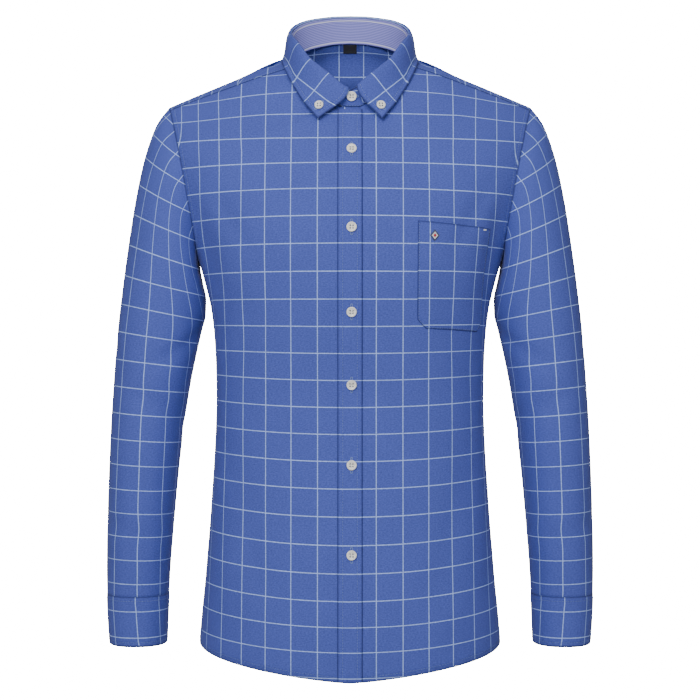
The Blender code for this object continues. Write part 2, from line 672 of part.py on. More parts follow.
def wrist_point(angle, z, out=0.0):
    """A point round the lower sleeve and the normal there, moved out from the section."""
    def place(turn):
        width, depth = superellipse(turn)
        outer, inner = WRIST("outer_x", z), WRIST("inner_x", z)
        deep = np.where(depth > 0, -WRIST("front", z), -WRIST("back", z))
        return np.stack(((outer + inner) / 2 + width * (outer - inner) / 2, deep * depth,
                         z + 0.0 * width), axis=-1)
    tangent = place(angle + 1.0) - place(angle - 1.0)
    normal = unit(np.cross(tangent, np.array((0.0, 0.0, -1.0))))
    outside = place(angle) - place(angle + 180.0)
    normal = normal * np.sign(np.sum(normal * outside, axis=-1, keepdims=True))
    return place(angle) + normal * out, normal


def make_cuff(name, flip):
    """A cuff wrapped once round the wrist, its upper end lapped over the lower."""
    turn = np.linspace(0.0, CUFF_TURN, 33)
    lap = np.clip((CUFF_TURN - 360.0 + CUFF_EASE - turn) / CUFF_EASE, 0.0, 1.0)
    lap = (BAND + LAID) * lap * lap * (3 - 2 * lap)
    heights = np.linspace(CUFF_TOP, CUFF_BOTTOM, 4)
    z, angle = np.meshgrid(heights, CUFF_START + turn, indexing="ij")
    points, normals = wrist_point(angle, z, CUFF_PROUD)
    points = points + normals * lap[None, :, None]
    if flip:
        points, normals = mirrored(points), mirrored(normals)
    wall(name, sheet(points, normals), BAND, "shirting")


def make_slit_placket(name, cloth, flip):
    """The pointed strip over the slit above the cuff, moved out from the back of the sleeve."""
    surface = tree(cloth)
    side = -1.0 if flip else 1.0
    middle, _ = wrist_point(np.array(SLIT_ANGLE), np.array(CUFF_TOP))
    heights = np.linspace(CUFF_TOP + SLIT_OFF_CUFF, SLIT_TOP - SLIT_POINT - SLIT_STEP, 6)
    shares = np.linspace(-1.0, 1.0, 5)
    levels = np.repeat(heights[:, None], len(shares), axis=1)
    levels = np.concatenate((levels, (SLIT_TOP - SLIT_POINT * np.abs(shares))[None]))
    points = np.empty(levels.shape + (3,))
    for (row, column), z in np.ndenumerate(levels):
        start = Vector((side * (middle[0] + shares[column] * SLIT_HALF), FAR, z))
        points[row, column], _, _, _ = surface.ray_cast(start, Vector((0.0, -1.0, 0.0)))
    normals = unit(np.cross(np.gradient(points, axis=0), np.gradient(points, axis=1)))
    normals *= np.sign(normals[..., 1:2])
    wall(name, sheet(points + normals * (LAID_ROUND + CLOTH), normals), CLOTH, "shirting")


# ------------------------------------------------------------------------------------ collar


def lap_share(angle):
    """One at the front of the collar, where its ends lie on each other, and none at the side."""
    near = np.clip((LAP_NONE - np.abs(angle)) / (LAP_NONE - LAP_FULL), 0.0, 1.0)
    return near * near * (3 - 2 * near)


def radial(angle):
    """Level direction outwards at an angle round the neck."""
    turn = np.radians(angle)
    return np.stack((np.sin(turn), -np.cos(turn), 0.0 * turn), axis=-1)


def fold(angle):
    """The collar's fold line, its highest edge."""
    x, y = round_neck(angle, FOLD_HALF, FOLD_FRONT, FOLD_BACK)
    return np.stack((x, y, COLLAR("fold", np.abs(angle))), axis=-1)


def stand_sheet(turn, inward, upper):
    """The stand or its facing between the neckline and the fold, at angles 0 to 360 and past."""
    angle = (turn + 180.0) % 360.0 - 180.0
    side = np.where(turn < 180.0, 1.0, -1.0)
    offset = (side * LAP_OUT * lap_share(angle) - inward)[:, None] * radial(angle)
    low = neck(angle) + offset + np.array((0.0, 0.0, SEAM))
    high = fold(angle) - STAND_INSIDE_FOLD * radial(angle) + offset
    high -= np.array((0.0, 0.0, STAND_BELOW_FOLD))
    rows = np.array([low + (high - low) * share for share in (0.0, 0.5, 1.0)])
    if upper:
        rows[2, 0] += np.array(STAND_END_ROUND[0])
        rows[0, 0] += np.array(STAND_END_ROUND[1])
    normals = np.broadcast_to(radial(angle), rows.shape)
    return sheet(rows, normals)


def collar_turn():
    """Angles of the collar's columns: those of the neckline's own corners, all round."""
    upper, under = centre_angle(UPPER_LAP), centre_angle(UNDER_LAP)
    front, back = ([row["neck"] for row in records(rows) if row["neck"] is not None]
                   for rows in (FRONT_ROWS, BACK_ROWS))
    left = [upper + (90.0 - upper) * share for share in front]
    right = [360.0 - under - (90.0 - under) * share for share in reversed(front)]
    behind = [180.0 - 90.0 * share for share in reversed(back)]
    behind += [180.0 + 90.0 * share for share in back[1:]]
    return np.array(left + behind[1:-1] + right)


def make_stand():
    """The collar stand, its striped facing and the lapped ends at the front."""
    turn = collar_turn()
    ends = np.array((LEAF_END_RIGHT, LEAF_END_LEFT))
    stand = stand_sheet(np.concatenate((
        [STAND_END, turn[-2] - 360.0], ends, turn[:-1], 360.0 + ends, turn[-1:],
    )), 0.0, True)
    wall("collar_stand", stand, BAND, "shirting")
    facing = turn[1:-2]
    wall("collar_facing", stand_sheet(facing, BAND + SEAM, False), TRIM, "striped")
    return stand


def make_leaf(body):
    """The collar leaf: a roll over the stand, then a fall that rests on the shoulders."""
    turn = collar_turn()
    angles = np.concatenate(([LEAF_END_LEFT], turn[:-2], [360.0 + LEAF_END_RIGHT]))
    angle = (angles + 180.0) % 360.0 - 180.0
    reach = np.maximum(np.abs(angle), LEAF_FRONT)
    out, up = radial(angle), np.array((0.0, 0.0, 1.0))
    crest = fold(angle) + LAP_OUT * lap_share(angle)[:, None] * out
    centre = crest - ROLL * up - out
    arc = [centre + ROLL * (math.cos(t) * out + math.sin(t) * up)
           for t in np.radians(ROLL_ANGLES)]
    side = np.where(angles < 180.0, 1.0, -1.0)
    edge = np.stack((side * COLLAR("leaf_x", reach), COLLAR("leaf_y", reach),
                     COLLAR("leaf_z", reach)), axis=1)
    length = np.linalg.norm(edge - arc[-1], axis=1, keepdims=True)
    leaving = length * unit(ROLL_LEAVES_OUT * out - up)
    arriving = length * unit(unit(edge - arc[-1]) + LEAF_ARRIVES_OUT * out)
    fall = hermite(arc[-1], edge, leaving, arriving, np.linspace(0.0, 1.0, 7)[1:, None, None])
    rows = np.concatenate((np.array(arc), fall))
    first_free = len(arc) + 1
    for row in range(first_free, len(rows)):
        for column in range(len(angles)):
            point = Vector(rows[row, column])
            near, normal, _, _ = body.find_nearest(point)
            if normal.dot(Vector((near.x, near.y, NECK_HALF))) < 0:
                normal = -normal
            short = LEAF + LEAF_CLEAR - (point - near).dot(normal)
            if short > 0:
                rows[row, column] += short * np.array(normal)
    normals = unit(np.cross(np.gradient(rows, axis=1), np.gradient(rows, axis=0)))
    if np.sum(normals[first_free] * out) < 0:
        normals = -normals
    leaf = sheet(rows, normals)
    wall("collar_leaf", leaf, LEAF, "shirting")
    return leaf


def make_label(yoke):
    """The small label under the facing at the back of the neck, moved in from the yoke."""
    surface = tree(yoke)
    rows = []
    for z in np.linspace(LABEL_BOTTOM, LABEL_TOP, 3):
        row = []
        for x in (-LABEL_HALF, 0.0, LABEL_HALF):
            hit, _, _, _ = surface.ray_cast(Vector((x, 0.0, z)), Vector((0.0, 1.0, 0.0)))
            row.append(np.array(hit))
        rows.append(row)
    rows = np.array(rows)
    facing = unit(np.cross(rows[2, 1] - rows[0, 1], np.array((1.0, 0.0, 0.0))))
    facing *= np.sign(facing[1])
    rows = rows - facing * (CLOTH + LABEL_OFF)
    wall("neck_label", sheet(rows, np.broadcast_to(facing, rows.shape)), TRIM, "label")


# ----------------------------------------------------------------------------------- buttons


def make_button(name, place, normal, diameter, off=STITCHED_OFF):
    """A turned button with a raised rim and a shallow dish, its back to the cloth."""
    axis = unit(np.asarray(normal, dtype=float))
    across = unit(np.cross(axis, np.array((0.0, 0.0, 1.0))))
    upward = np.cross(across, axis)
    base = np.asarray(place) + axis * off
    points = [base]
    for inside, height in BUTTON_PROFILE:
        radius = diameter / 2 - inside
        for step in range(BUTTON_SIDES):
            turn = 2 * math.pi * step / BUTTON_SIDES
            points.append(base + axis * height
                          + radius * (math.cos(turn) * across + math.sin(turn) * upward))
    points.append(base + axis * BUTTON_DISH)
    faces = []
    last, top = len(points) - 1, 1 + (len(BUTTON_PROFILE) - 1) * BUTTON_SIDES
    for step in range(BUTTON_SIDES):
        after = (step + 1) % BUTTON_SIDES
        faces += [(0, 1 + step, 1 + after), (top + after, top + step, last)]
        for a in range(1, top, BUTTON_SIDES):
            b = a + BUTTON_SIDES
            faces.append((a + after, a + step, b + step, b + after))
    solid(name, points, faces, "button")


def make_buttons(placket, stand, leaf):
    """Front, stand, collar point and cuff buttons."""
    place, normal = seen_from_front(tree(stand), BUTTON_X, STAND_BUTTON)
    make_button("button_stand", place, normal, BUTTON_SHIRT)
    strip = tree(placket)
    for number, height in enumerate(FRONT_BUTTONS):
        place, normal = seen_from_front(strip, BUTTON_X, height)
        make_button(f"button_front_{number + 1}", place, normal, BUTTON_SHIRT)
    points = tree(leaf)
    for name, side in (("right", -1.0), ("left", 1.0)):
        place, _ = seen_from_front(points, side * COLLAR_BUTTON_X, COLLAR_BUTTON_Z)
        normal = sum(seen_from_front(points, side * COLLAR_BUTTON_X + x, COLLAR_BUTTON_Z + z)[1]
                     for x, z in ((POINT_PROBE, 0.0), (-POINT_PROBE, 0.0),
                               (0.0, POINT_PROBE), (0.0, -POINT_PROBE)))
        make_button(f"button_collar_{name}", place, normal, BUTTON_COLLAR, POINT_OFF)
        place, normal = wrist_point(np.array(CUFF_START + CUFF_BUTTON_IN),
                                    np.array(CUFF_BUTTON), CUFF_PROUD + BAND + LAID)
        if side < 0:
            place, normal = mirrored(place), mirrored(normal)
        make_button(f"button_cuff_{name}", place, normal, BUTTON_SHIRT)


def main():
    for thing in list(bpy.data.objects):
        bpy.data.objects.remove(thing, do_unlink=True)
    shells = {"under": half_shell(UNDER_LAP), "upper": half_shell(UPPER_LAP)}
    sheets = make_body(shells)
    placket = make_placket((sheets["front_right"], sheets["front_left"]))
    make_pocket(sheets["front_left"])
    for name, flip in (("right", True), ("left", False)):
        cloth = make_sleeve(f"sleeve_{name}", shells, flip)
        make_cuff(f"cuff_{name}", flip)
        make_slit_placket(f"sleeve_placket_{name}", cloth, flip)
    stand = make_stand()
    leaf = make_leaf(tree(sheets["front_right"], sheets["front_left"], sheets["back"],
                          sheets["yoke"], placket))
    make_label(sheets["yoke"])
    make_buttons(placket, stand, leaf)


main()
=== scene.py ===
"""Long-sleeved oxford shirt, filled out as worn: checked cloth, sewing, buttons and a pale studio.

The front looks along -Y, the wearer's left is +X and up is +Z, with the origin between the neck
points of the shoulders. Shapes are worked out in millimetres on grids of two parameters. A cloth
piece is a closed wall made from one grid and a second layer behind it. Its UV map runs in metres
of cloth, across and up, so that the check and the weave follow the grain.
"""

import functools
import math

import bpy
import numpy as np
from bpy.props import FloatProperty, FloatVectorProperty, PointerProperty
from bpy.types import Operator, Panel, PropertyGroup
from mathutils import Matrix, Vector


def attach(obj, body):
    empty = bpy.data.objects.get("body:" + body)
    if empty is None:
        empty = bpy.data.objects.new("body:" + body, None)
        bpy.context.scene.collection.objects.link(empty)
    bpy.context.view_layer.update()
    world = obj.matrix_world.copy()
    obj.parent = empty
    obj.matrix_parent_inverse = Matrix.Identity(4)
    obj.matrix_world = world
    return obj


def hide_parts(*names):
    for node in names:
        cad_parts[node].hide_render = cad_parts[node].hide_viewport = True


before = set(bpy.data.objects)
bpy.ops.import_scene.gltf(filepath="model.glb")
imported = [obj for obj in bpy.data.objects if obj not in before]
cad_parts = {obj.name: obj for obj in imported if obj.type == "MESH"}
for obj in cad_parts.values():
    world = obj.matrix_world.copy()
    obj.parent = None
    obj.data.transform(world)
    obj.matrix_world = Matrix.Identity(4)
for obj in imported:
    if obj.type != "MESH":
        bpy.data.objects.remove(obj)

bl_info = {
    "name": "Oxford shirt",
    "version": (1, 0, 0),
    "blender": (4, 5, 0),
    "location": "3D View > Sidebar > Shirt",
    "description": "Checked cloth, sewing and buttons of a long-sleeved oxford shirt",
    "category": "Add Mesh",
}

MM = 0.001
BODY = "root"

# ------------------------------------------------------------------- sizes, in millimetres

RIDGE_Y = 6.0            # the shoulder ridge lies this far behind the middle
RIDGE_SLOPE = 0.4286
SHOULDER_Z, UNDERARM_Z = -61.5, -247.0
CAP_X, CAP_HEIGHT = (0.0, 70.0, 217.0), (130.0, 115.0, 75.0)
NECK_HALF, NECK_Y, NECK_FRONT, NECK_BACK = 68.0, 4.0, 70.0, 54.0
FOLD_HALF, FOLD_FRONT, FOLD_BACK = 73.3, 74.0, 58.0
SECTION = 2.3            # exponent of the body's horizontal section, 2 is an ellipse
BLEND_X, BLEND_ABOVE = 112.0, -30.0
UNDER_LAP, UPPER_LAP = -11.0, 11.6           # where the two fronts end at the centre line
PLACKET_HALF, PLACKET_TOP, PLACKET_END = 14.2, -73.0, -731.5
PLACKET_OUT = 1.9        # its face off the fronts
POCKET = {"left": 78.0, "right": 174.0, "top": -205.5, "top_drop": 7.0,
          "bottom": -328.0, "bottom_drop": 3.5, "corner": 10.0}
STAND_END = -12.7        # end of the collar's upper lap, in degrees past the front centre
STAND_INSIDE_FOLD, STAND_BELOW_FOLD = 1.2, 3.8
BAND = 2.0               # thickness of the stand and of a cuff
LAP_OUT, LAP_FULL, LAP_NONE = 1.25, 20.0, 62.0
ROLL, ROLL_LEAVES_OUT, LEAF_ARRIVES_OUT = 2.2, 0.55, 0.25
LEAF_CLEAR, LEAF_END_RIGHT, LEAF_END_LEFT, LEAF_FRONT = 2.6, -0.8, 6.1, 6.0
SLEEVE_SECTION = 2.15
ARMHOLE_GAP, ARMHOLE_PROUD = 0.3, 0.8
ARMHOLE_TUCK = 3.0       # the sleeve goes on this far under the body's edge
CUFF_TOP, CUFF_BOTTOM, CUFF_PROUD = -643.7, -702.5, 0.6
CUFF_START, CUFF_TURN, CUFF_EASE = -62.0, 388.0, 42.0
SLIT_TOP, SLIT_HALF, SLIT_POINT, SLIT_ANGLE = -520.0, 11.0, 14.0, -84.0
LABEL_HALF, LABEL_TOP, LABEL_BOTTOM, LABEL_TURNED = 8.0, 21.6, 13.0, 6.0
BUTTON_X = 1.8
FRONT_BUTTONS = (-122.0, -213.0, -309.5, -393.0, -485.0, -587.5)
STAND_BUTTON, CUFF_BUTTON, CUFF_BUTTON_IN = -57.5, -673.0, 11.0
COLLAR_BUTTON = (35.8, -69.0)
BUTTON_HOLE, BUTTON_HOLE_AT = 0.85, 1.45     # radius of a hole, and how far off the middle
EMBLEM = {"place": (97.0, -222.0), "width": 12.0, "height": 14.0, "bar": (157.0, -214.0)}
STITCH_GAP = 0.8
FAR = 99.0               # a distance that no seam reaches

FLOOR_Z = -0.80          # in metres, as the camera is
CAMERA = {"at": (0.0, -2.3, -0.353), "lens": 98.57, "sensor": 36.0}
LIGHTS = (               # name, place, size, power, what it looks at
    ("front_light", (-0.5, -2.6, 0.9), (2.0, 1.6), 80.0, (0.0, 0.0, -0.35)),
    ("side_light", (1.6, -1.9, 0.4), (1.4, 1.6), 8.0, (0.0, 0.0, -0.35)),
    ("top_light", (0.0, -0.2, 1.7), (1.8, 1.6), 5.0, (0.0, 0.0, -0.2)),
    ("back_light", (0.3, 2.3, 0.5), (1.4, 1.2), 26.0, (0.0, 0.0, -0.35)),
)


class Table:
    """A short table with named columns, read between its rows along a smooth monotone curve."""

    def __init__(self, columns, *rows):
        self.columns = columns.split()
        self.rows = np.array(sorted(rows), dtype=float)

    def __call__(self, column, at):
        x = self.rows[:, 0]
        y = self.rows[:, self.columns.index(column)]
        gap = np.diff(x)
        rise = np.diff(y) / gap
        slope = np.empty_like(y)
        slope[0], slope[-1] = rise[0], rise[-1]
        turning = rise[1:] * rise[:-1] <= 0
        safe = np.where(turning, 1.0, rise[1:])
        safe_before = np.where(turning, 1.0, rise[:-1])
        before, after = 2 * gap[1:] + gap[:-1], gap[1:] + 2 * gap[:-1]
        mean = (before + after) / (before / safe_before + after / safe)
        slope[1:-1] = np.where(turning, 0.0, mean)
        at = np.clip(np.asarray(at, dtype=float), x[0], x[-1])
        row = np.clip(np.searchsorted(x, at, side="right") - 1, 0, len(x) - 2)
        t = (at - x[row]) / gap[row]
        start = y[row] * (1 + 2 * t) * (1 - t) ** 2 + gap[row] * slope[row] * t * (1 - t) ** 2
        end = y[row + 1] * (3 - 2 * t) * t**2 - gap[row] * slope[row + 1] * (1 - t) * t**2
        return start + end


# Half widths and depths of the body by height; above the underarm the section is only virtual
TORSO = Table(
    "z half_width front back",
    (-740, 181.5, 117, 113), (-701, 180.0, 117, 113), (-665, 177.0, 116, 113),
    (-629, 173.4, 114, 112), (-593, 170.4, 111, 110), (-557, 167.4, 108, 106),
    (-521, 165.0, 106, 101), (-485, 162.6, 104, 96), (-449, 160.8, 103, 93),
    (-413, 159.8, 103, 92), (-377, 160.3, 106, 94), (-341, 162.0, 111, 99),
    (-305, 166.0, 116, 106), (-280, 171.6, 119, 111), (-262, 176.5, 120, 113),
    (-247, 181.0, 121, 115), (-222, 190.0, 121, 117), (-182, 205.0, 117, 118),
    (-148, 215.0, 108, 115), (-113, 222.0, 93, 108), (-70, 225.0, 68, 98),
    (-20, 225.0, 60, 93), (40, 225.0, 60, 90),
)
RIDGE = Table("x z", (0, 26.0), (68, -3.0), (80, -4.8), (91, -7.8), (150, -32.8), (217, -61.5))
ARMHOLE = Table(
    "z x",
    (-247, 181.0), (-222, 183.0), (-187, 188.5), (-148, 195.5), (-113, 203.0), (-80, 211.5),
    (-61.5, 217.0),
)
# The collar by angle round the neck: fold height, stand height, where the leaf's edge lies
COLLAR = Table(
    "angle fold stand leaf_x leaf_y leaf_z",
    (0, -48.0, 21.0, 34.5, -82, -87.0), (6, -44.5, 24.5, 37.0, -82, -84.5),
    (10, -40.3, 28.7, 42.5, -79, -77.5), (17, -32.5, 31.5, 53.5, -68, -64.0),
    (30, -19.5, 32.0, 62.5, -56, -49.5), (41, -9.3, 31.7, 69.0, -45, -38.0),
    (52, 4.0, 33.0, 73.8, -33, -29.0), (62, 14.0, 34.0, 77.5, -22, -21.0),
    (75, 22.5, 33.0, 80.8, -8, -11.0), (90, 29.3, 32.3, 82.2, 8, -3.5),
    (105, 37.5, 35.0, 78.5, 22, -3.0), (120, 45.0, 37.0, 69.5, 36, -1.0),
    (135, 51.0, 37.0, 56.0, 48, 4.0), (150, 55.0, 36.5, 39.5, 58, 9.5),
    (165, 57.8, 36.0, 20.5, 64, 13.5), (180, 58.6, 35.6, 0.0, 66, 15.0),
)
# Rows of the upper body: the angle round the armhole from its top, and where the row starts,
# as a share of the neckline from the centre to the ridge or as a height on the centre line
FRONT_ROWS = (
    (180, None, -247), (165, None, -218), (150, None, -188), (135, None, -158),
    (120, None, -128), (105, None, -99), (90, 0, None), (75, 0.165, None), (60, 0.33, None),
    (46, 0.49, None), (32, 0.645, None), (17.5, 0.8, None), (8.75, 0.9, None), (0, 1, None),
)
BACK_ROWS = (
    (180, None, -247), (157, None, -220), (133, None, -192), (109, None, -165),
    (85, None, -137), (61, None, -110), (53, None, -65), (45, None, -20), (36, 0, None),
    (30, 0.167, None), (24, 0.333, None), (18, 0.5, None), (12, 0.667, None), (6, 0.833, None),
    (0, 1, None),
)
FRONT_YOKE_ROW, BACK_YOKE_ROW = 11, 5        # the yoke's seams, counted from the underarm's row
BACK_NECK_ROW = 8                            # the back row that starts at the neck's centre
# Rows below the underarm: heights at the side seam and at the centre of the front and back
LOWER_ROWS = (
    (-700.0, -733.0, -738.0), (-655.0, -681.0, -685.0), (-605.0, -621.0, -624.0),
    (-555.0, -562.0, -564.0), (-506.0, -508.0, -509.0), (-460.0, -460.0, -460.0),
    (-415.0, -415.0, -415.0), (-372.0, -372.0, -372.0), (-335.0, -335.0, -335.0),
    (-305.0, -305.0, -305.0), (-276.0, -276.0, -276.0),
)
HEM_CURVE = 1.3
COLUMNS = (0.0, 0.14, 0.28, 0.41, 0.53, 0.64, 0.74, 0.82, 0.89, 0.95, 1.0)

# Sleeve sections from the armhole to the cuff: outer and inner edge, depth before and behind
SLEEVE = Table(
    "section outer_x outer_z inner_x inner_z front back",
    (0, 217.0, -61.5, 181.0, -247.0, 54, 57), (1, 231.0, -81.0, 179.2, -262.0, 58, 60),
    (2, 245.5, -121.0, 175.6, -277.0, 61, 61), (3, 256.5, -172.0, 172.4, -293.0, 62, 60),
    (4, 265.3, -228.0, 173.0, -311.0, 62, 57), (5, 272.8, -284.0, 177.2, -329.0, 62, 54),
    (6, 278.8, -338.0, 183.6, -356.0, 62, 50), (7, 283.2, -398.0, 191.6, -396.0, 61, 44),
    (8, 286.2, -446.0, 199.2, -446.0, 60, 38), (9, 288.2, -492.0, 204.6, -492.0, 59, 34),
    (10, 289.8, -536.0, 208.8, -536.0, 57, 32), (11, 290.9, -578.0, 212.4, -578.0, 54, 31),
    (12, 291.3, -614.0, 215.2, -614.0, 50, 31), (13, 290.9, -643.4, 216.8, -643.4, 47, 32),
)
ARMHOLE_SHARE = Table("section share", (0, 1.0), (1, 0.62), (2, 0.34), (3, 0.15), (4, 0.05),
                      (5, 0.0), (13, 0.0))
WRIST = Table(
    "z outer_x inner_x front back",
    (-703, 287.8, 219.2, 44.5, 32.5), (-665, 290.2, 217.8, 45.5, 32.5),
    (-643.4, 290.9, 216.8, 47.0, 32.0), (-614, 291.3, 215.2, 50.0, 31.0),
    (-578, 290.9, 212.4, 54.0, 31.0), (-536, 289.8, 208.8, 57.0, 32.0),
    (-492, 288.2, 204.6, 59.0, 34.0),
)

# Soft troughs and ridges of the body cloth: place, lean in degrees, size, depth
BODY_FOLDS = (
    ("face", "x", "z", "lean", "length", "width", "depth"),
    ("front", 166.0, -236.0, 14.0, 58.0, 11.0, 4.0),
    ("front", 141.0, -198.0, 30.0, 44.0, 10.0, 2.2),
    ("front", 128.0, -352.0, -24.0, 62.0, 15.0, 2.0),
    ("front", 118.0, -560.0, 12.0, 88.0, 19.0, 2.6),
    ("back", 158.0, -226.0, 20.0, 62.0, 12.0, 3.6),
    ("back", 96.0, -420.0, -30.0, 74.0, 18.0, 3.0),
    ("back", 120.0, -560.0, 8.0, 92.0, 20.0, 3.2),
)
FOLD_EDGE = 0.06
SLEEVE_FOLDS = (
    ("angle", "z", "lean", "length", "width", "depth"),
    (128.0, -352.0, 34.0, 40.0, 10.0, 2.6),
    (112.0, -420.0, -26.0, 44.0, 12.0, 2.4),
    (-120.0, -430.0, 24.0, 46.0, 12.0, 2.6),
    (72.0, -566.0, -20.0, 40.0, 12.0, 1.8),
    (-60.0, -330.0, -22.0, 52.0, 13.0, 2.2),
)
ROUND_SLEEVE = 0.75      # length round a sleeve per degree

# How a sleeve's crosswise lines rise towards its outer side, by height, and where they cross
# its middle, as the length of cloth along it
SLEEVE_LEAN = Table("z slope", (-700, 0.0), (-640, 0.02), (-450, 0.07), (-345, 0.143),
                    (-320, 0.19), (-292, 0.23), (-262, 0.31), (-225, 0.405), (-195, 0.5),
                    (-150, 0.7), (-100, 1.0), (0, 1.0))
SLEEVE_LEAN_X = 234.0
SLEEVE_DRIFT = Table("z shift", (-760, -12), (-647, -10), (-611, -6.5), (-581, -4), (-480, 0),
                     (0, 0))
SLEEVE_LINES = Table("z along", (-760, -572), (-628.7, -434), (-572.9, -372), (-518.1, -310),
                     (-460.0, -248), (-399.4, -186), (-337.3, -124), (-274.2, -62),
                     (-203.0, 0), (-40, 142))

# Heights of the body's crosswise lines at the centre, 31 mm of cloth apart or a multiple of it
BODY_LINES = Table(
    "z along",
    (-790, -558), (-727.5, -496), (-640, -403), (-512.3, -279), (-388, -155), (-295, -62),
    (-231.3, 0), (-168.2, 62), (-108, 124), (-78, 155), (-48, 186), (60, 296),
)
# How far they rise 150 mm out from the centre
LINE_RISE = Table("z rise", (-740, 10.0), (-640, 10.0), (-512, 7.7), (-388, 5.2), (-295, 0.5),
                  (-231, -1.5), (-168, -2.4), (-108, -0.4), (0, 0.0))

# Cloth: the check, and how far each piece's pattern is shifted across and along
PANE = 31.0
PHASES = {
    "front_left": (0.9, 0.0), "front_right": (6.3, 0.0), "placket": (0.0, 0.0),
    "pocket": (1.0, -1.0), "back": (2.5, 0.0), "yoke": (2.5, 8.0), "sleeve": (-12.3, 0.4),
    "cuff": (6.3, 10.1), "stand": (0.0, 9.0), "leaf": (3.7, -3.0),
}
ROW_STEPS = 6                                # fine rows for each row of the tables
LINE_ROWS = 8                                # rows above the underarm where line heights count
SHOULDER_ROW = (len(LOWER_ROWS) + LINE_ROWS) * ROW_STEPS
FACING_GROUND = (0.31, 0.31, 0.76)           # lavender between the facing's stripes
WHITE_THREAD = ((0.62, 0.64, 0.70), (0.86, 0.87, 0.90))

# Walls of the pieces that aren't one layer of shirting, and the rim's roundness as a share
FACING_WALL, LEAF_WALL, LABEL_WALL, RIM_ROUND = 0.8, 1.3, 0.6, 0.45
FACING_ENDS = (23.0, 336.5)                  # degrees round the neck
STAND_ROUND = 7.0                            # radius of the stand's upper end
BUTTON_RING = 3.9                            # radius of the darker ring in a button's dish

# The sweep of the studio: its floor's front edge, where it bends, the bend's radius, the height
# of the wall above it and half its width; and the share of the glow that the camera sees
SWEEP = {"front": -3200.0, "bend": 1300.0, "radius": 1200.0, "wall": 2600.0, "half": 3800.0}
GLOW_SHARE = 0.85

# Sewing: how far the lines of stitches lie from the edges
HEM, PLACKET_LINE, CUFF_LINE, LEAF_LINE, ARMHOLE_LINE = 6.0, 6.0, 5.0, 5.0, 6.0
YOKE_LINE, YOKE_OVER, YOKE_LIFT, YOKE_FADE = 1.6, 1.5, 0.55, 14.0
SEAM_REACH = 12.0        # a line of stitches is felt this far away
PLACKET_ROUND, POCKET_OUT, POCKET_LIP = 0.6, 0.8, 0.9
ARMHOLE_UNDER = 1.1
CUFF_LAP, CUFF_PUFF, SLIT_OUT, LABEL_IN = 2.7, 0.4, 1.9, 2.6
SLEEVE_ROWS = 110


def records(table):
    """Rows of a table as dictionaries named by its first row."""
    return [dict(zip(table[0], row)) for row in table[1:]]


def unit(vectors):
    """Vectors of length one."""
    return vectors / np.maximum(np.linalg.norm(vectors, axis=-1, keepdims=True), 1e-9)


def dot(a, b):
    """Dot products along the last axis."""
    return np.sum(a * b, axis=-1)


def mirrored(grid):
    """A grid on the other side of the centre plane, its columns turned round to look outwards."""
    return (grid * np.array((-1.0, 1.0, 1.0)))[:, ::-1]


def runs(grid, axis=0):
    """Length along a grid's rows or columns, summed from their first point."""
    steps = np.linalg.norm(np.diff(grid, axis=axis), axis=-1)
    return np.concatenate((np.zeros_like(np.take(steps, [0], axis)), np.cumsum(steps, axis)), axis)


def spread(curve, shares):
    """Points at the given shares of a curve's length."""
    run = runs(curve)
    at = np.asarray(shares) * run[-1]
    return np.stack([np.interp(at, run, curve[:, axis]) for axis in range(3)], axis=1)


def hermite(start, end, leaving, arriving, t):
    """A cubic from start to end with the given tangents, at shares t of its run."""
    return (
        start * (1 + 2 * t) * (1 - t) ** 2 + leaving * t * (1 - t) ** 2
        + end * (3 - 2 * t) * t**2 - arriving * (1 - t) * t**2
    )


def eased(count=241):
    """Shares from none to one that lie closer and closer together."""
    return 1 - (1 - np.linspace(0.0, 1.0, count)) ** 3


def smooth(share):
    """Share squared times three less twice the share: flat at both ends."""
    share = np.clip(share, 0.0, 1.0)
    return share * share * (3 - 2 * share)


def bell(across, along, width, length):
    """A fold's share of its depth: a bell across it that fades at both ends."""
    return np.exp(-((across / width) ** 2) - (along / length) ** 4)


def normals_of(grid, closed=False):
    """Unit normals of a grid: its columns' direction crossed with its rows' direction."""
    if closed:
        around = np.roll(grid, -1, axis=1) - np.roll(grid, 1, axis=1)
    else:
        around = np.gradient(grid, axis=1)
    return unit(np.cross(around, np.gradient(grid, axis=0)))


def grain(grid, normals, across, start):
    """Cloth coordinates, summed row by row from a first row whose coordinates are given.

    A step from one row to the next is split into its part along the cloth's crosswise
    direction, which is `across` laid into the surface, and its part at right angles to it.
    """
    cross = unit(across - dot(across, normals)[..., None] * normals)
    up = np.cross(normals, cross)
    step = np.diff(grid, axis=0)
    pairs = [dot(step, (way[1:] + way[:-1]) / 2) for way in (cross, up)]
    moved = np.cumsum(np.stack(pairs, axis=-1), axis=0)
    return np.concatenate((start[None], start[None] + moved))


def inset(grid, normals, distance, axis=0, end=False):
    """The line on a grid that runs at a distance from one of its four edges."""
    if axis:
        grid, normals = grid.swapaxes(0, 1), normals.swapaxes(0, 1)
    if end:
        grid, normals = grid[::-1], normals[::-1]
    run = runs(grid)
    columns = np.arange(grid.shape[1])
    low = np.clip((run <= distance).sum(axis=0) - 1, 0, len(grid) - 2)
    share = ((distance - run[low, columns]) / (run[low + 1, columns] - run[low, columns]))[:, None]
    line = grid[low, columns] * (1 - share) + grid[low + 1, columns] * share
    return line, unit(normals[low, columns] * (1 - share) + normals[low + 1, columns] * share)


# -------------------------------------------------------------------------- making meshes


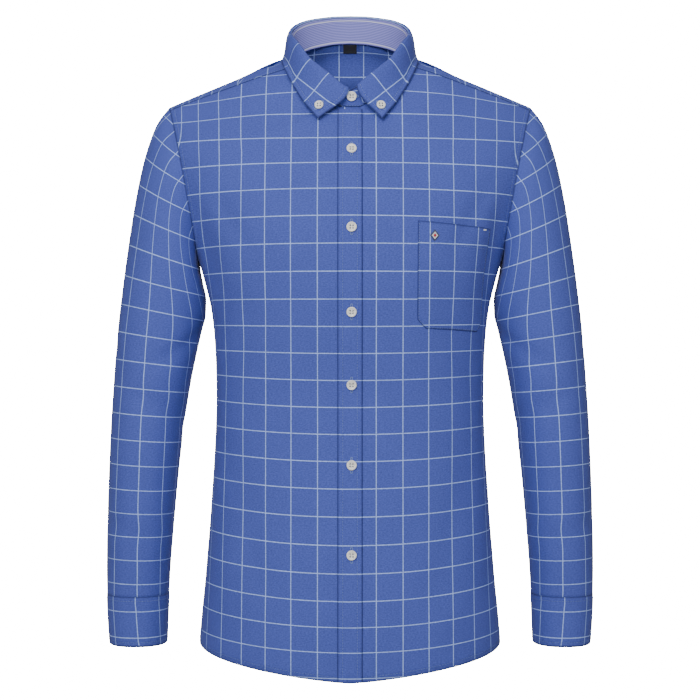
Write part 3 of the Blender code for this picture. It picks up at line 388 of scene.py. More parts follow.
def from_grid(grid, uv, sewn=None, closed=False, normals=None):
    """A sheet from a grid: its points, their normals, its quads and the quads' corner maps.

    uv holds cloth coordinates in millimetres; on a closed grid it has one column more than
    the points. sewn holds the distances to the nearest line of stitches and to the border.
    """
    if normals is None:
        normals = normals_of(grid, closed)
    if sewn is None:
        sewn = np.full(uv.shape, FAR)
    rows, columns = uv.shape[:2]
    index = np.arange(rows)[:, None] * grid.shape[1] + np.arange(columns)[None] % grid.shape[1]

    def corners(values):
        parts = (values[:-1, :-1], values[:-1, 1:], values[1:, 1:], values[1:, :-1])
        return np.stack(parts, axis=2).reshape((-1, 4) + values.shape[2:])

    return {"points": grid.reshape(-1, 3), "normals": normals.reshape(-1, 3),
            "quads": corners(index), "uv": corners(uv), "sewn": corners(sewn)}


def welded(*sheets):
    """Sheets as one, with the points that they share made one."""
    points = np.concatenate([sheet["points"] for sheet in sheets])
    starts = np.cumsum([0] + [len(sheet["points"]) for sheet in sheets[:-1]])
    _, first, same = np.unique(np.round(points * 200).astype(np.int64), axis=0,
                               return_index=True, return_inverse=True)
    same = same.reshape(-1)
    summed = np.zeros((len(first), 3))
    np.add.at(summed, same, np.concatenate([sheet["normals"] for sheet in sheets]))
    quads = np.concatenate([same[sheet["quads"] + at] for sheet, at in zip(sheets, starts)])
    maps = {key: np.concatenate([sheet[key] for sheet in sheets]) for key in ("uv", "sewn")}
    return {"points": points[first], "normals": unit(summed), "quads": quads, **maps}


def wall(sheet, thickness):
    """A sheet closed into a wall: a second layer behind it and a rounded rim between them."""
    points, normals, quads = sheet["points"], sheet["normals"], sheet["quads"]
    count = len(points)
    start, end = quads.reshape(-1), np.roll(quads, -1, axis=1).reshape(-1)
    free = ~np.isin(start.astype(np.int64) * count + end, end.astype(np.int64) * count + start)
    corner = np.nonzero(free)[0]
    following = corner - corner % 4 + (corner + 1) % 4
    a, b = start[free], end[free]
    out = np.zeros_like(points)
    away = np.cross(unit(points[b] - points[a]), normals[a])
    np.add.at(out, a, away)
    np.add.at(out, b, away)
    rim, place = np.unique(np.concatenate((a, b)), return_inverse=True)
    a_rim, b_rim = 2 * count + place[:len(a)], 2 * count + place[len(a):]
    middle = points[rim] - normals[rim] * thickness / 2 + unit(out[rim]) * thickness * RIM_ROUND
    whole = np.concatenate((points, points - normals * thickness, middle))
    faces = np.concatenate((
        quads, quads[:, ::-1] + count,
        np.stack((b, a, a_rim, b_rim), axis=1),
        np.stack((b_rim, a_rim, a + count, b + count), axis=1),
    ))
    maps = {}
    for key in ("uv", "sewn"):
        flat = sheet[key].reshape(-1, 2)
        rims = np.stack((flat[following], flat[corner], flat[corner], flat[following]), axis=1)
        maps[key] = np.concatenate((sheet[key], sheet[key][:, ::-1], rims, rims))
    return {"points": whole, "quads": faces, **maps}


def put(name, shape, material, sharp=70.0):
    """A mesh object at the origin from points in millimetres, faces and their corner maps."""
    mesh = bpy.data.meshes.new(name)
    faces = [*shape["quads"].tolist(), *shape.get("caps", [])]
    mesh.from_pydata((shape["points"] * MM).tolist(), [], faces)
    for key, scale in (("uv", MM), ("sewn", 1.0)):
        if key in shape:
            layer = mesh.uv_layers.new(name="cloth" if key == "uv" else key)
            corners = np.zeros((len(mesh.loops), 2))
            flat = shape[key].reshape(-1, 2) * scale
            corners[:len(flat)] = flat
            layer.data.foreach_set("uv", corners.ravel())
    mesh.shade_smooth()
    mesh.set_sharp_from_angle(angle=math.radians(sharp))
    mesh.materials.append(material)
    thing = bpy.data.objects.new(name, mesh)
    bpy.context.scene.collection.objects.link(thing)
    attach(thing, BODY)
    return thing


def cut_of(sheet, turned):
    """A piece's cut, read from its cloth map: width, length and area in metres.

    turned is the length that is folded under at its top and bottom.
    """
    corners = sheet["uv"] * MM
    width, length = np.ptp(corners.reshape(-1, 2), axis=0)
    across, up = corners[:, 2] - corners[:, 0], corners[:, 3] - corners[:, 1]
    area = np.abs(across[:, 0] * up[:, 1] - across[:, 1] * up[:, 0]).sum() / 2
    return (width, length + turned * MM), area + width * turned * MM


def cloth(name, sheet, thickness, material, turned=0.0):
    """A piece of cloth in place of its solid, declared with the size that it is cut to."""
    piece = put(f"cloth_{name}", wall(sheet, thickness), material)
    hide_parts(name)
    flat, area = cut_of(sheet, turned)
    min(area, flat[0] * flat[1])
    return piece


# --------------------------------------------------------------------------- the body's form


def ridge(x):
    """Height of the shoulder ridge."""
    return RIDGE("z", np.abs(x))


def leaning(right, up, fold):
    """A fold's depth at a place given from its middle."""
    lean = math.radians(fold["lean"])
    across = right * math.cos(lean) - up * math.sin(lean)
    along = right * math.sin(lean) + up * math.cos(lean)
    return fold["depth"] * bell(across, along, fold["width"], fold["length"])


def body_y(x, z, face):
    """Depth of the body cloth.

    A rounded section, the half width and depth joined by a power of 2.3, is closed towards the
    shoulder ridge by a quarter arc of its depth. The folds of that side are taken off it.
    """
    x = np.abs(x)
    inside = np.minimum(x / TORSO("half_width", z), 1.0)
    section = TORSO(face, z) * (1 - inside**SECTION) ** (1 / SECTION)
    rise = np.clip((ridge(x) - z) / np.interp(x, CAP_X, CAP_HEIGHT), 0.0, 1.0)
    cap = np.sqrt(1 - (1 - rise) ** 2)
    side = -1.0 if face == "front" else 1.0
    dent = sum(leaning(x - fold["x"], z - fold["z"], fold)
               for fold in records(BODY_FOLDS) if fold["face"] == face)
    dent = dent * np.clip((1 - inside) / FOLD_EDGE, 0.0, 1.0)
    return RIDGE_Y + (side * (section - dent) - RIDGE_Y) * cap


def round_neck(angle, half, front, back):
    """Plan of the neck oval at an angle from its front centre."""
    turn = np.radians(angle)
    depth = np.where(np.cos(turn) > 0, front, back)
    return half * np.sin(turn), NECK_Y - depth * np.cos(turn)


def centre_angle(lap):
    """Angle on the neckline of a front edge that lies this far from the centre line."""
    return math.degrees(math.asin(lap / NECK_HALF))


def neck(angle):
    """The neckline seam: the neck oval, at the fold's height less the stand's."""
    x, y = round_neck(angle, NECK_HALF, NECK_FRONT, NECK_BACK)
    reach = np.abs(angle)
    return np.stack((x, y, COLLAR("fold", reach) - COLLAR("stand", reach)), axis=-1)


SHARES = np.interp(np.linspace(0, 1, 65), np.linspace(0, 1, len(COLUMNS)), COLUMNS)


def body_points(x, z, face):
    """Points of the body cloth at places of its front or back view."""
    return np.stack((x, body_y(x, z, face), z), axis=-1)


def lower_rows(face, lap):
    """Rows below the underarm, from the centre line to the side seam.

    A row's height goes from the centre's to the side's by a power of the share of the level arc.
    """
    table = np.array(LOWER_ROWS)
    fine = np.arange(len(table) * ROW_STEPS) / ROW_STEPS
    last = np.array(((UNDERARM_Z,) * 3,))
    levels = np.array([np.interp(fine, np.arange(len(table) + 1), column)
                       for column in np.concatenate((table, last)).T])[..., None]
    side, centre = levels[0], levels[1 if face == "front" else 2]
    ease = eased()
    flat_x = TORSO("half_width", side) * ease
    run = runs(body_points(flat_x, centre + 0 * flat_x, face), axis=1)
    run = run / run[:, -1:]
    start = lap / TORSO("half_width", centre)
    reach = start + (1 - start) * ease
    climb = np.array([np.interp(np.abs(row), ease, along) for row, along in zip(reach, run)])
    z = centre + (side - centre) * climb**HEM_CURVE
    return body_points(TORSO("half_width", z) * reach, z, face)


def upper_rows(face, lap):
    """Rows above the underarm, from the centre line or the neckline out to the armhole.

    A row that starts at the neckline leaves it level in front and with the shoulder's fall at
    the ridge, on a cubic that joins the plain form further out.
    """
    table = FRONT_ROWS if face == "front" else BACK_ROWS
    fine = np.arange((len(table) - 1) * ROW_STEPS + 1) / ROW_STEPS
    number = np.arange(len(table))
    turn = np.radians(np.interp(fine, number, [row[0] for row in table]))
    outer_z = SHOULDER_Z - (SHOULDER_Z - UNDERARM_Z) * (1 - np.cos(turn)) / 2
    outer_x = ARMHOLE("x", outer_z)
    first = sum(row[1] is None for row in table)      # the first row that starts on the neckline
    share = np.interp(fine, number, [row[1] or 0.0 for row in table])
    at_centre = centre_angle(lap) if face == "front" else 180.0
    on_neck = neck(at_centre + (90.0 - at_centre) * share)
    heights = [row[2] for row in table[:first]] + [on_neck[0, 2]]
    centre_z = np.interp(fine, number[:first + 1], heights)
    arrived = np.clip(fine - first + 1, 0.0, 1.0)
    centre = body_points(np.full_like(fine, lap), centre_z, face)
    centre[:, 1] += arrived * (on_neck[0, 1] - body_y(np.array(lap), on_neck[0, 2], face))
    start = np.where(fine[:, None] >= first, on_neck, centre)[:, None]
    near = [row[2] is None or row[2] > BLEND_ABOVE for row in table]
    near = smooth(np.interp(fine, number, np.array(near, dtype=float)))[:, None, None]

    ease = eased()
    x = start[..., 0] + (outer_x[:, None] - start[..., 0]) * ease
    z = start[..., 2] + (outer_z[:, None] - start[..., 2]) * ease
    plain = body_points(x, z, face)
    rate = (outer_z[:, None] - start[..., 2]) / (outer_x[:, None] - start[..., 0])
    meet, past = (
        body_points(np.full_like(rate, at), start[..., 2] + rate * (at - start[..., 0]), face)
        for at in (BLEND_X, BLEND_X + 2.0)
    )
    chord = np.linalg.norm(meet - start, axis=-1, keepdims=True)
    fall = -RIDGE_SLOPE * np.sin(math.pi / 2 * share)
    leaving = unit(np.stack((np.ones_like(fall), 0 * fall, fall), axis=-1))[:, None]
    t = np.clip((x - start[..., 0]) / (BLEND_X - start[..., 0]), 0.0, 1.0)[..., None]
    joined = hermite(start, meet, chord * leaving, chord * unit(past - meet), t)
    return np.where(t < 1.0, plain + (joined - plain) * near, plain)


def half_shell(lap):
    """Half of the body from the front hem over the ridge to the back hem, as one fine grid."""
    front = np.concatenate((lower_rows("front", lap), upper_rows("front", lap)))
    back = np.concatenate((lower_rows("back", 0.0), upper_rows("back", 0.0)))
    whole = np.concatenate((front, back[-2::-1]))
    return np.array([spread(row, SHARES) for row in whole])


LOW = len(LOWER_ROWS) * ROW_STEPS                        # the underarm's row in front
FRONT_SEAM = LOW + FRONT_YOKE_ROW * ROW_STEPS
RIDGE_ROW = LOW + (len(FRONT_ROWS) - 1) * ROW_STEPS
BACK_LOW = RIDGE_ROW + (len(BACK_ROWS) - 1) * ROW_STEPS  # and its row behind
BACK_SEAM = BACK_LOW - BACK_YOKE_ROW * ROW_STEPS
BACK_NECK = BACK_LOW - BACK_NECK_ROW * ROW_STEPS


# ------------------------------------------------------------------------- cloth of the body

LEVEL = np.array((1.0, 0.0, 0.0))


def seams(grid, **offsets):
    """Distances to the nearest line of stitches and to the border, for the named edges."""
    down, right = runs(grid, 0), runs(grid, 1)
    away = {"bottom": down, "top": down[-1:] - down, "start": right, "end": right[:, -1:] - right}
    near = [away[edge] - offset for edge, offset in offsets.items()]
    border = [away[edge] for edge in offsets]
    pair = np.stack((np.min(near, axis=0), np.min(border, axis=0)), axis=-1)
    return np.minimum(pair, SEAM_REACH)


@functools.lru_cache(maxsize=None)
def body_half(lap):
    """A half shell, its normals, and the cloth coordinates of its front, yoke and back.

    Up to the underarm the way across is the length along a row; above it is summed from row to
    row along the grain. The way along is read from the heights of the check's lines up to the
    shoulders, and summed above.
    """
    shell = half_shell(lap)
    normals = normals_of(shell)
    across = lap + runs(shell, axis=1)
    level = unit(np.cross((0.0, 0.0, 1.0), normals))
    steep = smooth((np.abs(normals[..., :1]) - 0.6) / 0.35)
    ahead = LEVEL - dot(LEVEL, normals)[..., None] * normals
    way = np.where(normals[..., 1:2] < 0, 1.0, -1.0) * level * steep + unit(ahead) * (1 - steep)

    def upward(rows, start):
        return grain(shell[rows], normals[rows], way[rows], start)

    along = line_height(shell)
    first = np.stack((across[LOW], along[LOW]), axis=-1)
    summed = upward(slice(LOW, SHOULDER_ROW + 1), first)[..., 0]
    front = np.stack((np.concatenate((across[:LOW], summed)), along[:SHOULDER_ROW + 1]), axis=-1)
    front = np.concatenate((front[:-1], upward(slice(SHOULDER_ROW, FRONT_SEAM + 1), front[-1])))
    low = slice(BACK_SEAM, None)
    back = np.stack((across[low], -along[low]), axis=-1)
    start = np.stack((across[BACK_SEAM], 0 * across[BACK_SEAM]), axis=-1)
    yoke = upward(slice(BACK_SEAM, FRONT_SEAM - 1, -1), start)[::-1]
    return shell, normals, {"front": front, "yoke": yoke, "back": back}


def line_height(points):
    """Length along the cloth at places of the body, from the heights of the check's lines."""
    rise = LINE_RISE("rise", points[..., 2]) * (points[..., 0] / 150.0) ** 2
    return BODY_LINES("along", points[..., 2] - rise)


def other_side(grid, normals, uv):
    """A piece of the left half as it is on the right half."""
    return mirrored(grid), mirrored(normals), uv[:, ::-1] * np.array((-1.0, 1.0))


@functools.lru_cache(maxsize=None)
def body_panels():
    """Grid, normals and cloth map of the fronts, and of the back's and the yoke's halves."""
    panels = {}
    for side, lap in (("right", UNDER_LAP), ("left", UPPER_LAP)):
        shell, normals, maps = body_half(lap)
        for name, rows in (("front", slice(0, FRONT_SEAM + 1)), ("back", slice(BACK_SEAM, None)),
                           ("yoke", slice(FRONT_SEAM, BACK_SEAM + 1))):
            part = shell[rows], normals[rows], maps[name]
            if name == "yoke":
                part = raised(*part)
            panels[f"{name}_{side}"] = part if side == "left" else other_side(*part)
    return panels


def raised(grid, normals, uv):
    """The yoke, lengthened over the panels that it is sewn on and lifted off them there."""
    def longer(values):
        ends = [values[at] + (values[at] - values[near]) * share[:, None]
                for at, near, share in ((0, 1, shares[0]), (-1, -2, shares[1]))]
        return np.concatenate((ends[0][None], values, ends[1][None]))
    shares = [YOKE_OVER / np.linalg.norm(grid[at] - grid[near], axis=-1)
              for at, near in ((0, 1), (-1, -2))]
    grid, uv, normals = longer(grid), longer(uv), unit(longer(normals))
    run = runs(grid)
    near_edge = np.minimum(run, run[-1:] - run)
    lift = YOKE_LIFT * (1 - smooth(near_edge / YOKE_FADE)) + 0.02
    return grid + normals * lift[..., None], normals, uv


def make_fronts(settings):
    """Both fronts, the strip of buttonholes and the chest pocket."""
    shirting = shirting_cloth(settings)
    for side, seam in (("right", "start"), ("left", "end")):
        grid, normals, uv = body_panels()[f"front_{side}"]
        lines = {"bottom": HEM, "top": 0.0, seam: 0.6}
        uv = uv + np.array(PHASES[f"front_{side}"])
        cloth(f"front_{side}", from_grid(grid, uv, seams(grid, **lines), normals=normals),
              settings.thickness * 1000, shirting)
    grid, normals, uv = placket_grid()
    cloth("placket", from_grid(grid, uv, seams(grid, start=PLACKET_LINE, end=PLACKET_LINE),
                               normals=normals), settings.thickness * 1000, shirting)
    grid, normals, uv = pocket_grid()
    cloth("pocket", from_grid(grid, uv, seams(grid, start=1.5, end=1.5, bottom=1.5, top=24.0),
                              normals=normals), settings.thickness * 1000, shirting)


@functools.lru_cache(maxsize=None)
def placket_grid():
    """The strip of buttonholes: the form under it by width and height, moved out."""
    edge = body_half(UPPER_LAP)[0][:FRONT_SEAM, 0]
    z, x = np.meshgrid(np.linspace(PLACKET_END, PLACKET_TOP, 150),
                       np.linspace(-PLACKET_HALF, PLACKET_HALF, 15), indexing="ij")
    y = np.interp(z, edge[:LOW + 36, 2], edge[:LOW + 36, 1])
    y = y + body_y(x, z, "front") - body_y(np.full_like(x, UPPER_LAP), z, "front")
    grid = np.stack((x, y, z), axis=-1)
    normals = normals_of(grid)
    round_edge = 1 - (np.abs(x) / PLACKET_HALF) ** 6
    grid = grid + normals * (PLACKET_OUT - PLACKET_ROUND * (1 - round_edge))[..., None]
    uv = np.stack((x + PLACKET_HALF + 1.3, line_height(grid)), axis=-1)
    return grid, normals_of(grid), uv + np.array(PHASES["placket"])


@functools.lru_cache(maxsize=None)
def pocket_grid():
    """The chest pocket: a net of shares of its width and height, moved out from the front."""
    up, across = np.meshgrid(np.linspace(0, 1, 60), np.linspace(0, 1, 50), indexing="ij")
    low = POCKET["bottom"] - POCKET["bottom_drop"] * across
    high = POCKET["top"] - POCKET["top_drop"] * across
    z = low + (high - low) * up
    tall = up * (POCKET["top"] - POCKET["bottom"])
    cut = np.clip(POCKET["corner"] - tall, 0.0, None)
    along = (POCKET["left"] + cut + (POCKET["right"] - POCKET["left"] - 2 * cut) * across)
    x = np.linspace(0.0, 181.0, 400) + 0 * z[..., None]
    x = np.minimum(x, TORSO("half_width", z)[..., None])
    flat = body_points(x, z[..., None] + 0 * x, "front")
    run = np.concatenate((np.zeros_like(x[..., :1]), np.cumsum(np.hypot(
        np.diff(flat[..., 0]), np.diff(flat[..., 1])), axis=-1)), axis=-1)
    low_at = np.clip((run <= along[..., None]).sum(axis=-1) - 1, 0, x.shape[-1] - 2)[..., None]
    pick = lambda values, at: np.take_along_axis(values, at, axis=-1)[..., 0]
    before = pick(run, low_at)
    share = (along - before) / np.maximum(pick(run, low_at + 1) - before, 1e-6)
    px = pick(x, low_at) * (1 - share) + pick(x, low_at + 1) * share
    grid = body_points(px, z, "front")
    normals = normals_of(grid)
    edge = np.min([across, 1 - across, up], axis=0) * 60
    puff = POCKET_OUT * smooth(edge / 9) + POCKET_LIP
    grid = grid + normals * puff[..., None]
    uv = np.stack((along, line_height(grid)), axis=-1) + np.array(PHASES["pocket"])
    return grid, normals_of(grid), uv


def make_back(settings):
    """The back and the yoke, each of two halves joined at the centre."""
    shirting = shirting_cloth(settings)
    for name in ("back", "yoke"):
        halves = []
        for side, seam in (("left", "end"), ("right", "start")):
            grid, normals, uv = body_panels()[f"{name}_{side}"]
            uv = uv + np.array(PHASES[name])
            lines = {"top": HEM, "bottom": 0.0, seam: 0.6}
            if name == "yoke":
                lines = {"top": YOKE_LINE, "bottom": YOKE_LINE}
            halves.append(from_grid(grid, uv, seams(grid, **lines), normals=normals))
        cloth(name, welded(*halves), settings.thickness * 1000, shirting)


# ----------------------------------------------------------------------------- sleeves, cuffs


def superellipse(angle):
    """Signed shares of the half width and depth at an angle round a rounded section."""
    c, s = np.cos(np.radians(angle)), np.sin(np.radians(angle))
    power = 2 / SLEEVE_SECTION
    return np.sign(c) * np.abs(c) ** power, np.sign(s) * np.abs(s) ** power


def section_rings(number, angles):
    """Rings round sleeve sections; 0 is the outer edge and 90 the front."""
    number = np.asarray(number, dtype=float)[:, None]
    width, depth = superellipse(angles)
    deep = np.where(depth > 0, -SLEEVE("front", number), -SLEEVE("back", number)) * depth
    outer_x, outer_z = SLEEVE("outer_x", number), SLEEVE("outer_z", number)
    inner_x, inner_z = SLEEVE("inner_x", number), SLEEVE("inner_z", number)
    return np.stack(((outer_x + inner_x) / 2 + width * (outer_x - inner_x) / 2, deep,
                     (outer_z + inner_z) / 2 + width * (outer_z - inner_z) / 2), axis=-1)


@functools.lru_cache(maxsize=None)
def sleeve_grid():
    """The left sleeve, rings from the cuff up to the armhole, and its cloth map.

    A ring is its section's rounded outline; near the armhole it takes more and more of the
    armhole's own shape. Soft folds are taken off it, and one last ring goes under the body.
    """
    shell, shell_normals, _ = body_half(UPPER_LAP)
    ring, normals = shell[LOW:BACK_LOW, -1], shell_normals[LOW:BACK_LOW, -1]
    along = unit(np.roll(ring, -1, axis=0) - np.roll(ring, 1, axis=0))
    outward = unit(np.cross(along, normals))
    ends = [np.array([SLEEVE(f"{edge}_x", 0), 0.0, SLEEVE(f"{edge}_z", 0)])
            for edge in ("outer", "inner")]
    middle, half = (ends[0] + ends[1]) / 2, (ends[0] - ends[1]) / 2
    share = np.clip((ring - middle) @ half / (half @ half), -1.0, 1.0)
    angles = np.degrees(np.arccos(np.sign(share) * np.abs(share) ** (SLEEVE_SECTION / 2)))
    angles[RIDGE_ROW - LOW:] *= -1
    first, second = section_rings((0, 1), angles)
    leaving = unit(second - first)
    turn = np.arctan2(dot(leaving, normals), dot(leaving, outward))
    turn = np.where(turn < -math.pi / 2, turn + 2 * math.pi, turn)
    lift = np.clip(turn / (math.pi / 2), 0.0, 1.0)[:, None]
    edge = ring + outward * ARMHOLE_GAP + normals * ARMHOLE_PROUD * lift
    number = np.linspace(0.0, 13.0, SLEEVE_ROWS)
    rings = section_rings(number, angles)
    rings = rings + ARMHOLE_SHARE("share", number)[:, None, None] * (edge - first)
    away = rings - rings.mean(axis=1, keepdims=True)
    dent = sum(leaning(rings[..., 2] - fold["z"],
                       ((angles - fold["angle"] + 180.0) % 360.0 - 180.0) * ROUND_SLEEVE,
                       fold) for fold in records(SLEEVE_FOLDS))
    fade = np.clip(number / 3.0, 0.0, 1.0) * np.clip((13.0 - number) / 0.6, 0.0, 1.0)
    rings = rings - unit(away) * (dent * fade[:, None])[..., None]
    tuck = ring - outward * ARMHOLE_TUCK - normals * ARMHOLE_UNDER
    grid = np.concatenate((tuck[None], rings))[::-1]
    closed = np.concatenate((grid, grid[:, :1]), axis=1)
    around = runs(closed, axis=1)
    u = around - around[:, RIDGE_ROW - LOW, None] + SLEEVE_DRIFT("shift", closed[..., 2])
    slope = SLEEVE_LEAN("slope", closed[..., 2])
    level = closed[..., 2] - slope * (closed[..., 0] - SLEEVE_LEAN_X)
    v = SLEEVE_LINES("along", level)
    return grid, normals_of(grid, closed=True), np.stack((u, v), axis=-1)


def wrist_point(angle, z, out=0.0):
    """A point round the lower sleeve and the normal there, moved out from the section."""
    def place(turn):
        width, depth = superellipse(turn)
        outer, inner = WRIST("outer_x", z), WRIST("inner_x", z)
        deep = np.where(depth > 0, -WRIST("front", z), -WRIST("back", z))
        return np.stack(((outer + inner) / 2 + width * (outer - inner) / 2, deep * depth,
                         z + 0.0 * width), axis=-1)
    tangent = place(angle + 1.0) - place(angle - 1.0)
    normal = unit(np.cross(tangent, np.array((0.0, 0.0, -1.0))))
    outside = place(angle) - place(angle + 180.0)
    normal = normal * np.sign(dot(normal, outside))[..., None]
    return place(angle) + normal * out, normal


@functools.lru_cache(maxsize=None)
def cuff_grid():
    """The left cuff, wrapped once round the wrist with its upper end over the lower."""
    turn = np.linspace(0.0, CUFF_TURN, 150)
    lap = smooth((CUFF_TURN - 360.0 + CUFF_EASE - turn) / CUFF_EASE) * CUFF_LAP
    z, angle = np.meshgrid(np.linspace(CUFF_TOP, CUFF_BOTTOM, 25), CUFF_START + turn, indexing="ij")
    points, normals = wrist_point(angle, z, CUFF_PROUD)
    edge = np.minimum(CUFF_TOP - z, z - CUFF_BOTTOM)
    puff = CUFF_PUFF * smooth(edge / 7.0) - CUFF_PUFF
    grid = points + normals * (lap[None] + puff)[..., None]
    run = runs(grid, axis=1)
    outer = int(np.argmin(np.abs(CUFF_START + turn)))
    return grid, normals_of(grid), np.stack((run[:, outer, None] - run, z), axis=-1)


@functools.lru_cache(maxsize=None)
def slit_grid():
    """The pointed strip over the left sleeve's slit, moved out from the back of the sleeve."""
    middle, _ = wrist_point(np.array(SLIT_ANGLE), np.array(CUFF_TOP))
    share, up = np.meshgrid(np.linspace(1.0, -1.0, 13), np.linspace(0.0, 1.0, 50))
    top = SLIT_TOP - SLIT_POINT * np.abs(share)
    z = CUFF_TOP + 0.8 + (top - CUFF_TOP - 0.8) * up
    x = middle[0] + share * SLIT_HALF
    outer, inner = WRIST("outer_x", z), WRIST("inner_x", z)
    inside = np.abs(x - (outer + inner) / 2) / ((outer - inner) / 2)
    y = WRIST("back", z) * (1 - inside**SLEEVE_SECTION) ** (1 / SLEEVE_SECTION)
    grid = np.stack((x, y, z), axis=-1)
    normals = normals_of(grid)
    grid = grid + normals * SLIT_OUT
    return grid, normals, np.stack((share * SLIT_HALF + 15.0, z), axis=-1)


def sided(side, grid, normals, uv, sewn):
    """A left piece's arrays, mirrored for the right."""
    if side == "left":
        return grid, normals, uv, sewn
    return mirrored(grid), mirrored(normals), uv[:, ::-1], sewn[:, ::-1]


def make_sleeves(settings):
    """Both sleeves, their cuffs and the strips over their slits."""
    shirting = shirting_cloth(settings)
    for side in ("left", "right"):
        grid, normals, uv = sleeve_grid()
        border = runs(grid)[-1] - runs(grid) - ARMHOLE_TUCK
        sewn = np.stack((border - ARMHOLE_LINE, border), axis=-1)
        sewn = np.concatenate((sewn, sewn[:, :1]), axis=1)
        sewn = np.minimum(sewn, SEAM_REACH)
        grid, normals, uv, sewn = sided(side, grid, normals, uv, sewn)
        if side == "right":
            grid, normals = np.roll(grid, 1, axis=1), np.roll(normals, 1, axis=1)
        uv = uv + np.array(PHASES["sleeve"])
        cloth(f"sleeve_{side}", from_grid(grid, uv, sewn, closed=True, normals=normals),
              settings.thickness * 1000, shirting)
        grid, normals, uv = cuff_grid()
        lines = {edge: CUFF_LINE for edge in ("top", "bottom", "start", "end")}
        sewn = seams(grid, **lines)
        uv = uv + np.array(PHASES["cuff"])
        grid, normals, uv, sewn = sided(side, grid, normals, uv, sewn)
        cloth(f"cuff_{side}", from_grid(grid, uv, sewn, normals=normals), BAND, shirting)
        grid, normals, uv = slit_grid()
        sewn = seams(grid, top=1.5, start=1.5, end=1.5)
        grid, normals, uv, sewn = sided(side, grid, normals, uv, sewn)
        cloth(f"sleeve_placket_{side}", from_grid(grid, uv, sewn, normals=normals),
              settings.thickness * 1000, shirting)


# ------------------------------------------------------------------------------------ collar


def lap_share(angle):
    """One at the front of the collar, where its ends lie on each other, and none at the side."""
    return smooth((LAP_NONE - np.abs(angle)) / (LAP_NONE - LAP_FULL))


def radial(angle):
    """Level direction outwards at an angle round the neck."""
    turn = np.radians(angle)
    return np.stack((np.sin(turn), -np.cos(turn), 0.0 * turn), axis=-1)


def fold(angle):
    """The collar's fold line, its highest edge."""
    x, y = round_neck(angle, FOLD_HALF, FOLD_FRONT, FOLD_BACK)
    return np.stack((x, y, COLLAR("fold", np.abs(angle))), axis=-1)


def band_grid(start, end, inward, rounding=0.0, above=0.0):
    """A band that stands on the neckline, by angle round the neck and share of its height.

    The first end is rounded: it is drawn back by a quarter circle near its two corners.
    """
    share = np.linspace(0.0, 1.0, 15)[:, None]
    tall = 30.0 * np.minimum(share, 1 - share)
    back = rounding - np.sqrt(np.maximum(rounding**2 - np.clip(rounding - tall, 0, None) ** 2, 0))
    begin = start + back / math.radians(NECK_HALF)
    turn = begin + (end - begin) * np.linspace(0.0, 1.0, 200)[None]
    angle = (turn + 180.0) % 360.0 - 180.0
    side = np.where(turn < 180.0, 1.0, -1.0)
    offset = (side * LAP_OUT * lap_share(angle) - inward)[..., None] * radial(angle)
    low = neck(angle) + offset + np.array((0.0, 0.0, 0.3))
    high = fold(angle) - STAND_INSIDE_FOLD * radial(angle) + offset
    high = high - np.array((0.0, 0.0, STAND_BELOW_FOLD - above))
    grid = low + (high - low) * share[..., None]
    return grid, normals_of(grid), np.stack((runs(grid, 1), runs(grid, 0)), axis=-1)


@functools.lru_cache(maxsize=None)
def stand_grid():
    """The collar stand with its rounded upper end."""
    return band_grid(STAND_END, 360.0 - centre_angle(UNDER_LAP), 0.0, rounding=STAND_ROUND)


@functools.lru_cache(maxsize=None)
def leaf_grid():
    """The collar leaf: a roll over the stand, then a fall that rests on the shoulders."""
    turn = np.linspace(LEAF_END_LEFT, 360.0 + LEAF_END_RIGHT, 201)
    angle = (turn + 180.0) % 360.0 - 180.0
    reach = np.maximum(np.abs(angle), LEAF_FRONT)
    out, up = radial(angle), np.array((0.0, 0.0, 1.0))
    crest = fold(angle) + LAP_OUT * lap_share(angle)[:, None] * out
    centre = crest - ROLL * up - out
    roll = np.radians(np.linspace(178.0, 38.0, 15))[:, None, None]
    arc = centre + ROLL * (np.cos(roll) * out + np.sin(roll) * up)
    side = np.where(turn < 180.0, 1.0, -1.0)
    edge = np.stack((side * COLLAR("leaf_x", reach), COLLAR("leaf_y", reach),
                     COLLAR("leaf_z", reach)), axis=1)
    length = np.linalg.norm(edge - arc[-1], axis=1, keepdims=True)
    leaving = length * unit(ROLL_LEAVES_OUT * out - up)
    arriving = length * unit(unit(edge - arc[-1]) + LEAF_ARRIVES_OUT * out)
    fall = hermite(arc[-1], edge, leaving, arriving, np.linspace(0.0, 1.0, 31)[1:, None, None])
    fall = cleared(fall, LEAF_CLEAR + 1.5)
    grid = np.concatenate((arc, fall))[::-1]
    normals = normals_of(grid)
    crest_row = len(grid) - 1 - 9
    along = unit(np.gradient(grid[crest_row], axis=0))
    first = np.stack((runs(grid[crest_row][None], 1)[0], 0 * angle), axis=-1)
    down = grain(grid[crest_row::-1], normals[crest_row::-1], along, first)
    inside = grain(grid[crest_row:], normals[crest_row:], along, first)
    uv = np.concatenate((down[:0:-1], inside))
    middle = first[-1, 0] / 2
    return grid, normals, uv - np.array((middle, 0.0))


def cleared(rows, distance):
    """Points pushed off the body by its nearest points and their mean normal."""
    points, normals = [], []
    for lap, side in ((UPPER_LAP, 1.0), (UNDER_LAP, -1.0)):
        shell, facing, _ = body_half(lap)
        near = slice(LOW + 12, BACK_LOW - 24)
        flip = np.array((side, 1.0, 1.0))
        points.append((shell[near, ::2] * flip).reshape(-1, 3))
        normals.append((facing[near, ::2] * flip).reshape(-1, 3))
    points, normals = np.concatenate(points), np.concatenate(normals)
    moved = []
    for row in rows:
        apart = ((row[:, None] - points[None]) ** 2).sum(axis=-1)
        weight = np.exp(-(apart - apart.min(axis=1, keepdims=True)) / 30.0)
        weight /= weight.sum(axis=1, keepdims=True)
        facing, place = unit(weight @ normals), weight @ points
        short = distance - dot(row - place, facing)
        moved.append(row + np.maximum(short, 0.0)[:, None] * facing)
    return np.array(moved)


